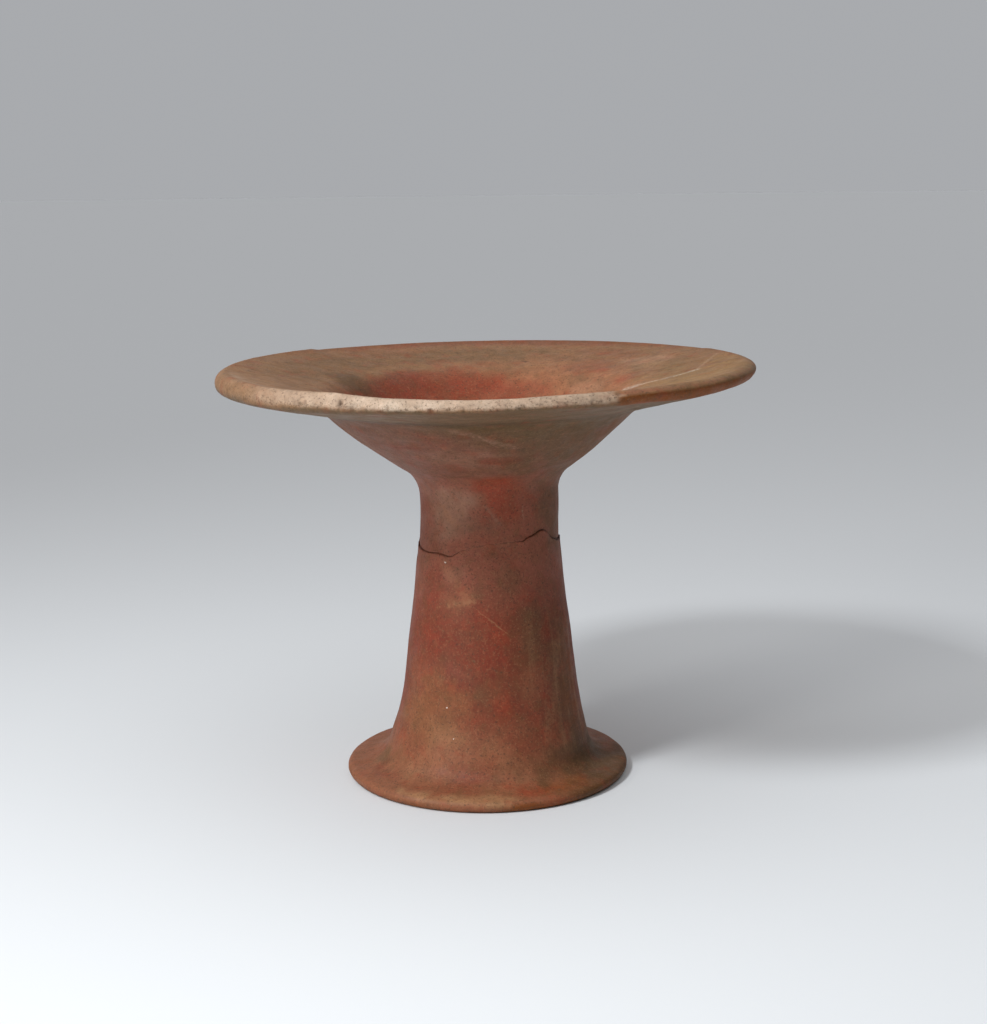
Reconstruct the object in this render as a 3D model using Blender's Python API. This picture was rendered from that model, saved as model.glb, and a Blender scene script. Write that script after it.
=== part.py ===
"""Pottery dish on a tall, hollow, splayed foot: hand-built, slipped red, fired, and mended once round the stem.

Dish, stem and foot are one piece of fired clay, so they are one solid. Metres, +Z up. The ground is Z = 0, the
rim is centred on the Z axis and the side that is usually seen faces -Y. Azimuths run from +X towards +Y.
"""

import math

import bmesh
import bpy
import numpy as np

# Heights and widths over all
CROWN_HEIGHT = 0.240
NECK_BELOW_CROWN = 0.0654
NECK_RADIUS = 0.0402
ROOT_RADIUS = 0.0614

# Foot
FOOT_OVERHANG = 0.0212
FOOT_EDGE = 0.0064
FOOT_TOP_SLOPE = math.radians(11.0)
STANDING_RING = 0.0120
RECESS_HEIGHT = 0.0045

# Dish
BEND_RADIUS = 0.0926
FLANGE_WIDTH = 0.0599
FLANGE_SLOPE = math.radians(13.2)
LIP_THICKNESS = 0.0104
BOWL_DEPTH = 0.0560
BOWL_BELLY = 0.0012

# Walls, and the share of the hollow's height where its side starts and ends
BOWL_WALL = 0.0105
FLOOR_THICKNESS = 0.0100
STEM_WALL = 0.0090
HOLLOW_SIDE = (0.10, 0.88)

# Rounding where one run of the profile meets the next
NECK_FILLET = 0.0180
ROOT_FILLET = 0.0140
BEND_FILLET = 0.0300
FLOOR_FILLET = 0.0220
HOLLOW_FILLET = 0.0080
RECESS_FILLET = 0.0060
MOST_OF_A_RUN = 0.48

# The stem's taper: share of the way up from the root to the neck, share of the widening that is left there
STEM_TAPER = (
    (0.00, 1.000),
    (0.07, 0.880),
    (0.14, 0.690),
    (0.22, 0.553),
    (0.34, 0.424),
    (0.45, 0.318),
    (0.58, 0.172),
    (0.70, 0.085),
    (0.80, 0.020),
    (0.90, 0.000),
    (1.00, 0.000),
)

# How far the potter's hand let the axis stray along X: share of the crown's height, metres
SWAY = (
    (0.00, -0.0013),
    (0.12, 0.0008),
    (0.33, 0.0014),
    (0.56, 0.0013),
    (0.69, 0.0016),
    (0.76, 0.0002),
    (0.80, -0.0006),
    (0.84, -0.0022),
    (0.92, -0.0018),
    (0.97, -0.0002),
    (1.00, 0.0004),
)

# Unevenness of the rim, whose tilt starts this share of the way up to the crown under the neck
RIM_TILT = math.radians(0.48)
TILT_STARTS_BELOW = 0.2
LIFTED_SPAN = (138.0, 196.0)
LIFTED_EASE = (3.0, 30.0)
LIFTED_BY = 0.0009

# The lip round the rim: azimuth in degrees, then its thickness and its sinking as shares of LIP_THICKNESS.
# It is worn thin at the front, and a mended piece of the rim runs from -65 to 24.
LIP_ROUND_RIM = (
    (-180, 1.106, 0.080),
    (-150, 1.080, 0.050),
    (-134, 1.080, 0.060),
    (-121, 1.030, 0.030),
    (-117, 0.930, 0.100),
    (-110, 0.780, 0.200),
    (-100, 0.700, 0.250),
    (-93, 0.680, 0.270),
    (-84, 0.670, 0.240),
    (-75, 0.710, 0.170),
    (-65, 0.740, 0.150),
    (-56, 0.730, 0.120),
    (-45, 0.870, 0.100),
    (-30, 0.800, 0.060),
    (0, 0.790, 0.020),
    (24, 0.800, 0.000),
    (27, 0.900, 0.050),
    (60, 0.950, 0.060),
    (90, 1.000, 0.070),
    (120, 1.050, 0.060),
    (138, 1.080, 0.030),
    (160, 1.100, 0.040),
)

# The mended break round the stem: azimuth in degrees, height from the break's own level in metres
BREAK_UP_STEM = 0.795
BREAK_REACH = 0.14
BREAK_WIDTH = 0.0016
BREAK_DEPTH = 0.0009
BREAK_STEP = 0.0004
BREAK_LINE = (
    (-172, -0.0060),
    (-160, -0.0063),
    (-138, -0.0055),
    (-124, -0.0062),
    (-118, -0.0047),
    (-109, -0.0015),
    (-95, 0.0011),
    (-79, 0.0022),
    (-63, 0.0027),
    (-54, 0.0052),
    (-42, 0.0072),
    (-34, 0.0036),
    (-29, 0.0013),
    (-22, -0.0003),
    (-12, -0.0018),
    (2, -0.0012),
    (18, -0.0040),
    (34, -0.0014),
    (55, 0.0022),
    (80, -0.0006),
    (104, -0.0050),
    (128, -0.0020),
    (152, 0.0008),
    (172, -0.0035),
)

# Facets
AROUND = 72
STEM_LOWEST_RING = 0.13
STEM_RINGS_BELOW_BREAK = 8
STEM_RINGS_ABOVE_BREAK = 3
HOLLOW_RINGS = 5
SHARP_EDGE = math.radians(50.0)

CLAY_COLOUR = (0.36, 0.155, 0.095, 1.0)
CLAY_ROUGHNESS = 0.62

# Places that follow from the sizes above
RIM_RADIUS = BEND_RADIUS + FLANGE_WIDTH
FOOT_RADIUS = ROOT_RADIUS + FOOT_OVERHANG
NECK_HEIGHT = CROWN_HEIGHT - NECK_BELOW_CROWN
LIP_CENTRE = np.array((RIM_RADIUS - LIP_THICKNESS / 2, CROWN_HEIGHT - LIP_THICKNESS / 2))
ROOT_HEIGHT = FOOT_EDGE + (FOOT_OVERHANG - FOOT_EDGE / 2) * math.tan(FOOT_TOP_SLOPE)
BREAK_HEIGHT = ROOT_HEIGHT + BREAK_UP_STEM * (NECK_HEIGHT - ROOT_HEIGHT)


def clear_scene():
    """Removes every object, so that only the dish is left."""
    for thing in list(bpy.data.objects):
        bpy.data.objects.remove(thing, do_unlink=True)


def smooth(low, high, value):
    """0 below low, 1 above high, and an S between them."""
    share = np.clip((value - low) / (high - low), 0.0, 1.0)
    return share * share * (3.0 - 2.0 * share)


def through(stations, at):
    """A smooth curve through the stations, read at the given places: cubic spans, each end's slope from its neighbours."""
    x, y = np.array(stations).T
    slope = np.gradient(y, x)
    at = np.clip(at, x[0], x[-1])
    span = np.clip(np.searchsorted(x, at) - 1, 0, len(x) - 2)
    width = x[span + 1] - x[span]
    t = (at - x[span]) / width
    start = (1 + 2 * t) * (1 - t) ** 2 * y[span] + t * (1 - t) ** 2 * width * slope[span]
    end = t * t * (3 - 2 * t) * y[span + 1] + t * t * (t - 1) * width * slope[span + 1]
    return start + end


def crossing(point_a, direction_a, point_b, direction_b):
    """The point where two lines of the profile cross."""
    sides = np.column_stack((direction_a, -np.asarray(direction_b)))
    along = np.linalg.solve(sides, np.asarray(point_b) - point_a)[0]
    return point_a + along * np.asarray(direction_a)


def fillet(before, corner, after, radius, steps):
    """Points of the arc that rounds a corner. It is limited by the runs on either side."""
    back = (before - corner) / np.linalg.norm(before - corner)
    ahead = (after - corner) / np.linalg.norm(after - corner)
    half = math.acos(float(np.clip(back @ ahead, -1, 1))) / 2
    room = MOST_OF_A_RUN * min(np.linalg.norm(before - corner), np.linalg.norm(after - corner))
    cut = min(radius / math.tan(half), room)
    radius = cut * math.tan(half)
    middle = (back + ahead) / np.linalg.norm(back + ahead)
    centre = corner + middle * radius / math.sin(half)
    start, end = corner + back * cut - centre, corner + ahead * cut - centre
    turn = math.atan2(start[0] * end[1] - start[1] * end[0], float(start @ end))
    angles = np.linspace(0, turn, steps)[:, None]
    across = np.array((-start[1], start[0]))
    return centre + np.cos(angles) * start + np.sin(angles) * across


def arc(centre, radius, start, end, steps):
    """Points of a plain arc from one angle to another."""
    angles = np.linspace(start, end, steps)
    return np.asarray(centre) + radius * np.column_stack((np.cos(angles), np.sin(angles)))


def stem_radius(height):
    """The stem's outer radius at a height."""
    share = (height - ROOT_HEIGHT) / (NECK_HEIGHT - ROOT_HEIGHT)
    return NECK_RADIUS + (ROOT_RADIUS - NECK_RADIUS) * through(STEM_TAPER, share)


def points(*pairs):
    """Radius and height pairs as an array."""
    return np.array(pairs, dtype=float)


def dish_lines():
    """The corners that the flange's two faces make with the bowl's two faces, and the bowl floor's edge."""
    inward = np.array((-math.cos(FLANGE_SLOPE), -math.sin(FLANGE_SLOPE)))
    upward = np.array((-math.sin(FLANGE_SLOPE), math.cos(FLANGE_SLOPE)))
    top_start = LIP_CENTRE + upward * LIP_THICKNESS / 2
    under_start = LIP_CENTRE - upward * LIP_THICKNESS / 2
    neck = np.array((NECK_RADIUS, NECK_HEIGHT))
    bend = under_start + inward * (under_start[0] - BEND_RADIUS) / math.cos(FLANGE_SLOPE)
    rise = (bend - neck) / np.linalg.norm(bend - neck)
    inner_start = neck + np.array((-rise[1], rise[0])) * BOWL_WALL
    mouth = crossing(inner_start, rise, top_start, inward)
    floor_level = np.array((0.0, CROWN_HEIGHT - BOWL_DEPTH))
    floor_edge = crossing(inner_start, rise, floor_level, (1.0, 0.0))
    return neck, bend, mouth, floor_edge, top_start, under_start


def dish_profile():
    """From the middle of the bowl's floor, out over the flange, round the lip and back under to the neck."""
    neck, bend, mouth, floor_edge, top_start, under_start = dish_lines()
    floor_middle = np.array((0.0, floor_edge[1]))
    below_neck = np.array((NECK_RADIUS, BREAK_HEIGHT))
    swell = np.array((mouth[1] - floor_edge[1], floor_edge[0] - mouth[0]))
    swell *= BOWL_BELLY / np.linalg.norm(swell)
    floor_turn = fillet(floor_middle, floor_edge, mouth, FLOOR_FILLET, 5)
    mouth_turn = fillet(floor_edge, mouth, top_start, BEND_FILLET + BOWL_WALL, 4)
    quarter = math.pi / 2
    lip = arc(LIP_CENTRE, LIP_THICKNESS / 2, quarter + FLANGE_SLOPE, FLANGE_SLOPE - quarter, 8)
    bend_turn = fillet(under_start, bend, neck, BEND_FILLET, 4)
    neck_turn = fillet(bend, neck, below_neck, NECK_FILLET, 5)
    return np.concatenate(
        (
            [floor_middle, floor_turn[0] / (2, 1)],
            floor_turn,
            [(floor_turn[-1] + mouth_turn[0]) / 2 + swell],
            mouth_turn,
            [(mouth_turn[-1] + top_start) / 2],
            lip,
            [(under_start + bend_turn[0]) / 2],
            bend_turn,
            [(bend_turn[-1] + neck_turn[0]) / 2 + swell],
            neck_turn,
        )
    )


def stem_profile(top):
    """Down the outside of the stem, with the break's groove, from under the neck's rounding to the root's."""
    root = np.array((ROOT_RADIUS, ROOT_HEIGHT))
    foot_top = np.array((FOOT_RADIUS - FOOT_EDGE / 2, FOOT_EDGE))
    lowest = ROOT_HEIGHT + STEM_LOWEST_RING * (NECK_HEIGHT - ROOT_HEIGHT)
    lips = BREAK_HEIGHT + np.array((BREAK_WIDTH / 2, -BREAK_WIDTH / 2))
    above = np.linspace(top, lips[0], STEM_RINGS_ABOVE_BREAK + 1)[1:]
    below = np.linspace(lips[1], lowest, STEM_RINGS_BELOW_BREAK + 1)
    upper = np.column_stack((stem_radius(above) - BREAK_STEP * smooth(top, lips[0], above), above))
    groove = points((stem_radius(BREAK_HEIGHT) - BREAK_DEPTH, BREAK_HEIGHT))
    widened = stem_radius(below) + BREAK_STEP * smooth(lowest, lips[1], below)
    lower = np.column_stack((widened, below))
    root_turn = fillet(lower[-1], root, foot_top, ROOT_FILLET, 4)
    return np.concatenate((upper, groove, lower, root_turn, [(root_turn[-1] + foot_top) / 2]))


def foot_profile():
    """Round the foot's edge and across the flat ring that it stands on."""
    edge_centre = (FOOT_RADIUS - FOOT_EDGE / 2, FOOT_EDGE / 2)
    edge = arc(edge_centre, FOOT_EDGE / 2, math.pi / 2, -math.pi / 2, 6)
    return np.concatenate((edge, [(edge_centre[0] - STANDING_RING, 0.0)]))


def hollow_profile():
    """From the standing ring's inner edge up the inside of the foot and stem to the middle of the hollow's top."""
    top = CROWN_HEIGHT - BOWL_DEPTH - FLOOR_THICKNESS
    ring_inner = np.array((FOOT_RADIUS - FOOT_EDGE / 2 - STANDING_RING, 0.0))
    recess = np.array((ROOT_RADIUS - STEM_WALL, RECESS_HEIGHT))
    start, end = ROOT_HEIGHT + np.array(HOLLOW_SIDE) * (top - ROOT_HEIGHT)
    heights = np.linspace(start, end, HOLLOW_RINGS)
    side = np.column_stack((stem_radius(heights) - STEM_WALL, heights))
    top_edge = np.array((side[-1][0], top))
    recess_turn = fillet(ring_inner, recess, side[0], RECESS_FILLET, 3)
    top_turn = fillet(side[-1], top_edge, np.array((0.0, top)), HOLLOW_FILLET, 3)
    return np.concatenate((recess_turn, side, top_turn, [(0.0, top)]))


def whole_profile():
    """The closed section, from the axis on the bowl's floor round to the axis at the top of the hollow."""
    dish = dish_profile()
    return np.concatenate((dish, stem_profile(dish[-1][1]), foot_profile(), hollow_profile()))


def span_weight(azimuth, span, ease):
    """1 inside a span of azimuths, falling to 0 outside its two ends over the eases."""
    middle = sum(span) / 2
    turned = (azimuth - middle + 180.0) % 360.0 - 180.0
    half = (span[1] - span[0]) / 2
    return smooth(-half - ease[0], -half, turned) * (1 - smooth(half, half + ease[1], turned))


def lip_round_rim(azimuth):
    """The lip's thickness and how far it has sunk, both in metres."""
    at, thickness, sunk = np.array(LIP_ROUND_RIM).T
    return [LIP_THICKNESS * np.interp(azimuth, at, share, period=360.0) for share in (thickness, sunk)]


def break_shift(azimuth):
    """How far the break's line runs above or below its level, straight from one station to the next."""
    at, height = np.array(BREAK_LINE).T
    return np.interp(azimuth, at, height, period=360.0)


def hand_made(place):
    """Moves turned points to where the potter's hand, the firing and the mending left them."""
    x, y, z = place.T
    azimuth = np.degrees(np.arctan2(y, x))
    radius = np.hypot(x, y)

    stem_height = NECK_HEIGHT - ROOT_HEIGHT
    outside = radius > stem_radius(z) - STEM_WALL / 2
    reach = BREAK_REACH * stem_height
    near = (1 - smooth(0.0, reach, np.abs(z - BREAK_HEIGHT))) * outside
    z = z + near * break_shift(azimuth)

    lifted = span_weight(azimuth, LIFTED_SPAN, LIFTED_EASE)
    thickness, sunk = lip_round_rim(azimuth)
    on_flange = smooth(BEND_RADIUS, LIP_CENTRE[0], radius) * (z > NECK_HEIGHT)
    flange_top = CROWN_HEIGHT - np.maximum(LIP_CENTRE[0] - radius, 0) * math.tan(FLANGE_SLOPE)
    z = z + on_flange * (flange_top - z) * (1 - thickness / LIP_THICKNESS)
    z = z + on_flange * (LIFTED_BY * lifted - sunk)

    x = x + through(SWAY, z / CROWN_HEIGHT)
    tilt_foot = NECK_HEIGHT - TILT_STARTS_BELOW * NECK_BELOW_CROWN
    z = z + smooth(tilt_foot, NECK_HEIGHT, z) * x * math.tan(RIM_TILT)
    return np.column_stack((x, y, z))


def clay_material():
    """Fired clay under a thin red slip."""
    material = bpy.data.materials.new("fired_clay")
    material.use_nodes = True
    shader = material.node_tree.nodes["Principled BSDF"]
    shader.inputs["Base Color"].default_value = CLAY_COLOUR
    shader.inputs["Roughness"].default_value = CLAY_ROUGHNESS
    shader.inputs["Metallic"].default_value = 0.0
    return material


def turn_dish():
    """Spins the profile round the Z axis, closes its two ends on the axis and works the clay by hand."""
    shape = bmesh.new()
    corners = [shape.verts.new((radius, 0.0, height)) for radius, height in whole_profile()]
    edges = [shape.edges.new(pair) for pair in zip(corners, corners[1:])]
    bmesh.ops.spin(
        shape, geom=corners + edges, cent=(0, 0, 0), axis=(0, 0, 1), angle=math.tau, steps=AROUND, use_merge=True
    )
    bmesh.ops.remove_doubles(shape, verts=shape.verts, dist=1e-6)
    bmesh.ops.recalc_face_normals(shape, faces=shape.faces)
    mesh = bpy.data.meshes.new("footed_dish")
    shape.to_mesh(mesh)
    shape.free()

    place = np.empty(len(mesh.vertices) * 3)
    mesh.vertices.foreach_get("co", place)
    mesh.vertices.foreach_set("co", hand_made(place.reshape(-1, 3)).ravel())
    mesh.update()
    mesh.shade_smooth()
    mesh.set_sharp_from_angle(angle=SHARP_EDGE)
    mesh.materials.append(clay_material())
    return mesh


clear_scene()
dish = bpy.data.objects.new("footed_dish", turn_dish())
bpy.context.scene.collection.objects.link(dish)
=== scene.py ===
"""Looks of the footed pottery dish: red slip over pale clay, burnished, worn at the edges, stained and mended.

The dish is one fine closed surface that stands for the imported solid. Metres, +Z up, the seen side faces -Y.
Azimuths are in degrees, counted from the seen side (-Y), growing to the right of it.
"""

import logging
import math
from dataclasses import dataclass, field
from enum import Enum

import bpy
import numpy as np
from mathutils import Matrix, Vector


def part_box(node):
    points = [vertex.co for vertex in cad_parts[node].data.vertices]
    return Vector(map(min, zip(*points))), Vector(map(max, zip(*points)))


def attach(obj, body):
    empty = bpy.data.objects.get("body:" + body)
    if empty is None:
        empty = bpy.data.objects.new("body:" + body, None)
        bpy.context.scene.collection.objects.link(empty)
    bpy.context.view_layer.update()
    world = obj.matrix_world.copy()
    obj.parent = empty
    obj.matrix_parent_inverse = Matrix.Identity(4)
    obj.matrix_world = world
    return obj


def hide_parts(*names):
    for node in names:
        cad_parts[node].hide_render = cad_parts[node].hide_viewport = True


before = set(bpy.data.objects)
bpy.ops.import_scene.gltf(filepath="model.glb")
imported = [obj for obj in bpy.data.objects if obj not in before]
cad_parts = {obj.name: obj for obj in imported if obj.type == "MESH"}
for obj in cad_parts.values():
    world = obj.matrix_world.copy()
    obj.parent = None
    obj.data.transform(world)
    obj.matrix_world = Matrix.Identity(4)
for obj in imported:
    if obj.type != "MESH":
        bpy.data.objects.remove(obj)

LOG = logging.getLogger("footed_dish")
NODE = "footed_dish"
Colour = tuple[float, float, float]


def smooth(low: float, high: float, value: np.ndarray) -> np.ndarray:
    """An S-shaped step.

    Args:
        low: Where the step starts to rise from 0.
        high: Where it reaches 1.
        value: The places to read it at.

    Returns:
        The step, 3t^2 - 2t^3 of the clamped share t.
    """
    share = np.clip((value - low) / (high - low), 0.0, 1.0)
    return share * share * (3.0 - 2.0 * share)


def through(stations: tuple, at: np.ndarray) -> np.ndarray:
    """A smooth curve through stations.

    Args:
        stations: Pairs of place and value, in rising order of place.
        at: The places to read the curve at.

    Returns:
        Cubic Hermite spans whose end slopes come from the neighbouring stations.
    """
    x, y = np.array(stations).T
    slope = np.gradient(y, x)
    at = np.clip(at, x[0], x[-1])
    span = np.clip(np.searchsorted(x, at) - 1, 0, len(x) - 2)
    width = x[span + 1] - x[span]
    t = (at - x[span]) / width
    start = (1 + 2 * t) * (1 - t) ** 2 * y[span] + t * (1 - t) ** 2 * width * slope[span]
    end = t * t * (3 - 2 * t) * y[span + 1] + t * t * (t - 1) * width * slope[span + 1]
    return start + end


def turned(azimuth: np.ndarray, middle: float) -> np.ndarray:
    """Azimuths counted from a middle one, between -180 and 180 degrees."""
    return (azimuth - middle + 180.0) % 360.0 - 180.0


def span_weight(azimuth: np.ndarray, span: tuple[float, float], ease: tuple[float, float]) -> np.ndarray:
    """1 inside a span of azimuths, easing to 0 outside its two ends.

    Args:
        azimuth: Azimuths in degrees.
        span: The span's two ends.
        ease: How many degrees each end takes to fade.

    Returns:
        The weight of each azimuth.
    """
    away = turned(azimuth, sum(span) / 2)
    half = (span[1] - span[0]) / 2
    return smooth(-half - ease[0], -half, away) * (1 - smooth(half, half + ease[1], away))


def lattice_noise(place: np.ndarray, grain: tuple[float, float, float], seed: int) -> np.ndarray:
    """Smooth value noise in space.

    Args:
        place: Points, one a row, in metres.
        grain: The size of a lump along X, Y and Z, in metres.
        seed: Which of the many fields to read.

    Returns:
        Values between -1 and 1: each lattice corner has a hashed value, eased between corners.
    """
    scaled = place / np.array(grain)
    cell = np.floor(scaled).astype(np.int64)
    ease = scaled - cell
    ease = ease * ease * (3 - 2 * ease)
    total = np.zeros(len(place))
    for corner in np.ndindex(2, 2, 2):
        x, y, z = (cell + corner).T
        code = (x * 374761393 + y * 668265263 + z * 2246822519 + seed * 3266489917) & 0xFFFFFFFF
        code = ((code ^ (code >> 13)) * 1274126177) & 0xFFFFFFFF
        value = (code ^ (code >> 16)) / 0x7FFFFFFF - 1.0
        total += value * np.prod(np.where(corner, ease, 1 - ease), axis=1)
    return total


def layered_noise(place: np.ndarray, grain: tuple[float, float, float], seed: int, layers: int) -> np.ndarray:
    """Lattice noise with finer layers at half the size and half the height each.

    Args:
        place: Points, one a row, in metres.
        grain: The size of the coarsest lumps.
        seed: Which field to read.
        layers: How many layers are added.

    Returns:
        The sum, mostly between -1 and 1.
    """
    sizes = np.array(grain)
    total = np.zeros(len(place))
    for layer in range(layers):
        total += lattice_noise(place, tuple(sizes / 2**layer), seed + layer) / 2**layer
    return total / (2 - 2.0 ** (1 - layers))


class Run(Enum):
    """The runs of the section, from the middle of the bowl's floor round to the top of the hollow."""

    BOWL_FLOOR = "bowl floor"
    FLOOR_TURN = "floor turn"
    BOWL_WALL = "bowl wall"
    MOUTH_TURN = "mouth turn"
    FLANGE_TOP = "flange top"
    LIP = "lip"
    FLANGE_UNDER = "flange under"
    BEND_TURN = "bend turn"
    BOWL_UNDER = "bowl under"
    NECK_TURN = "neck turn"
    STEM_ABOVE = "stem above the break"
    BREAK = "break"
    STEM_BELOW = "stem below the break"
    ROOT_TURN = "root turn"
    FOOT_TOP = "foot top"
    FOOT_EDGE = "foot edge"
    STANDING_RING = "standing ring"
    RECESS_TURN = "recess turn"
    HOLLOW_SIDE = "hollow side"
    HOLLOW_TURN = "hollow turn"
    HOLLOW_TOP = "hollow top"


RUNS = tuple(Run)
RINGS = dict(zip(RUNS, (4, 4, 12, 7, 20, 18, 9, 5, 20, 6, 9, 15, 30, 6, 4, 7, 2, 2, 8, 3, 2)))


def fillet(before: np.ndarray, corner: np.ndarray, after: np.ndarray, radius: float, steps: int = 33) -> np.ndarray:
    """The arc that rounds a corner of the section.

    Args:
        before: A point on the run that comes in.
        corner: Where the two runs would meet.
        after: A point on the run that goes out.
        radius: The arc's radius, limited by the runs.
        steps: How many points the arc gets.

    Returns:
        The arc's points, from the run in to the run out.
    """
    back = (before - corner) / np.linalg.norm(before - corner)
    ahead = (after - corner) / np.linalg.norm(after - corner)
    half = math.acos(float(np.clip(back @ ahead, -1, 1))) / 2
    room = 0.48 * min(np.linalg.norm(before - corner), np.linalg.norm(after - corner))
    cut = min(radius / math.tan(half), room)
    radius = cut * math.tan(half)
    middle = (back + ahead) / np.linalg.norm(back + ahead)
    centre = corner + middle * radius / math.sin(half)
    start, end = corner + back * cut - centre, corner + ahead * cut - centre
    turn = math.atan2(start[0] * end[1] - start[1] * end[0], float(start @ end))
    angles = np.linspace(0, turn, steps)[:, None]
    return centre + np.cos(angles) * start + np.sin(angles) * np.array((-start[1], start[0]))


def crossing(point_a: np.ndarray, along_a: np.ndarray, point_b: np.ndarray, along_b: np.ndarray) -> np.ndarray:
    """The point where two lines of the section cross."""
    sides = np.column_stack((along_a, -np.asarray(along_b)))
    return point_a + np.linalg.solve(sides, np.asarray(point_b) - point_a)[0] * np.asarray(along_a)


@dataclass(frozen=True)
class MendedBreak:
    """The break round the stem: its level, its jagged line, how far it gapes and the step that it leaves."""

    up_stem: float = 0.795
    reach: float = 0.14
    depth: float = 0.0006
    step: float = 0.0004
    fray: float = 0.0003
    closed: tuple[float, float] = (-20.0, 20.0)
    closing: tuple[float, float] = (20.0, 14.0)
    line: tuple = (
        (-82, -0.0060), (-70, -0.0063), (-57, -0.0059), (-48, -0.0055), (-41, -0.0057), (-34, -0.0062),
        (-31, -0.0060), (-28, -0.0047), (-24, -0.0029), (-19, -0.0015), (-12, 0.0002), (-5, 0.0011),
        (3, 0.0018), (11, 0.0022), (17, 0.0026), (23, 0.0025), (27, 0.0027), (31, 0.0037), (36, 0.0052),
        (40, 0.0061), (44, 0.0070), (48, 0.0072), (52, 0.0061), (56, 0.0036), (61, 0.0013), (68, -0.0003),
        (78, -0.0018), (92, -0.0012), (108, -0.0040), (124, -0.0014), (145, 0.0022), (170, -0.0006),
        (194, -0.0050), (218, -0.0020), (242, 0.0008), (262, -0.0035),
    )
    gape: tuple = (
        (-90, 0.0006), (-62, 0.0005), (-40, 0.0005), (-24, 0.0003), (-14, 0.00019), (10, 0.00017),
        (22, 0.00025), (34, 0.00045), (52, 0.0005), (62, 0.0006), (84, 0.0006), (120, 0.0005), (180, 0.0004),
        (230, 0.0006),
    )

    def shift(self, azimuth: np.ndarray) -> np.ndarray:
        """How far the line runs above its level, straight from station to station."""
        at, height = np.array(self.line).T
        return np.interp(azimuth, at, height, period=360.0)

    def gap(self, azimuth: np.ndarray) -> np.ndarray:
        """Half the width that the break gapes."""
        at, width = np.array(self.gape).T
        return np.interp(azimuth, at, width, period=360.0)


@dataclass(frozen=True)
class UnevenRim:
    """How the firing and the mending left the rim out of true."""

    tilt: float = math.radians(0.48)
    lifted: tuple[float, float] = (-132.0, -74.0)
    lifted_ease: tuple[float, float] = (3.0, 30.0)
    lifted_by: float = 0.0009
    highest: float = 112.0
    lip: tuple = (
        (-180, 1.000, 0.070), (-150, 1.050, 0.060), (-132, 1.080, 0.030), (-110, 1.100, 0.040),
        (-90, 1.106, 0.080), (-60, 1.080, 0.050), (-44, 1.080, 0.060), (-31, 1.030, 0.030), (-27, 0.930, 0.100),
        (-20, 0.780, 0.200), (-10, 0.700, 0.250), (-3, 0.680, 0.270), (6, 0.670, 0.240), (15, 0.710, 0.170),
        (25, 0.740, 0.150), (34, 0.730, 0.120), (45, 0.870, 0.100), (60, 0.800, 0.060), (90, 0.790, 0.020),
        (114, 0.800, 0.000), (117, 0.900, 0.050), (150, 0.950, 0.060),
    )

    def round_rim(self, azimuth: np.ndarray) -> tuple[np.ndarray, np.ndarray]:
        """The lip's thickness and how far it has sunk, both as shares of its nominal thickness."""
        at, thickness, sunk = np.array(self.lip).T
        return np.interp(azimuth, at, thickness, period=360.0), np.interp(azimuth, at, sunk, period=360.0)


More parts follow.
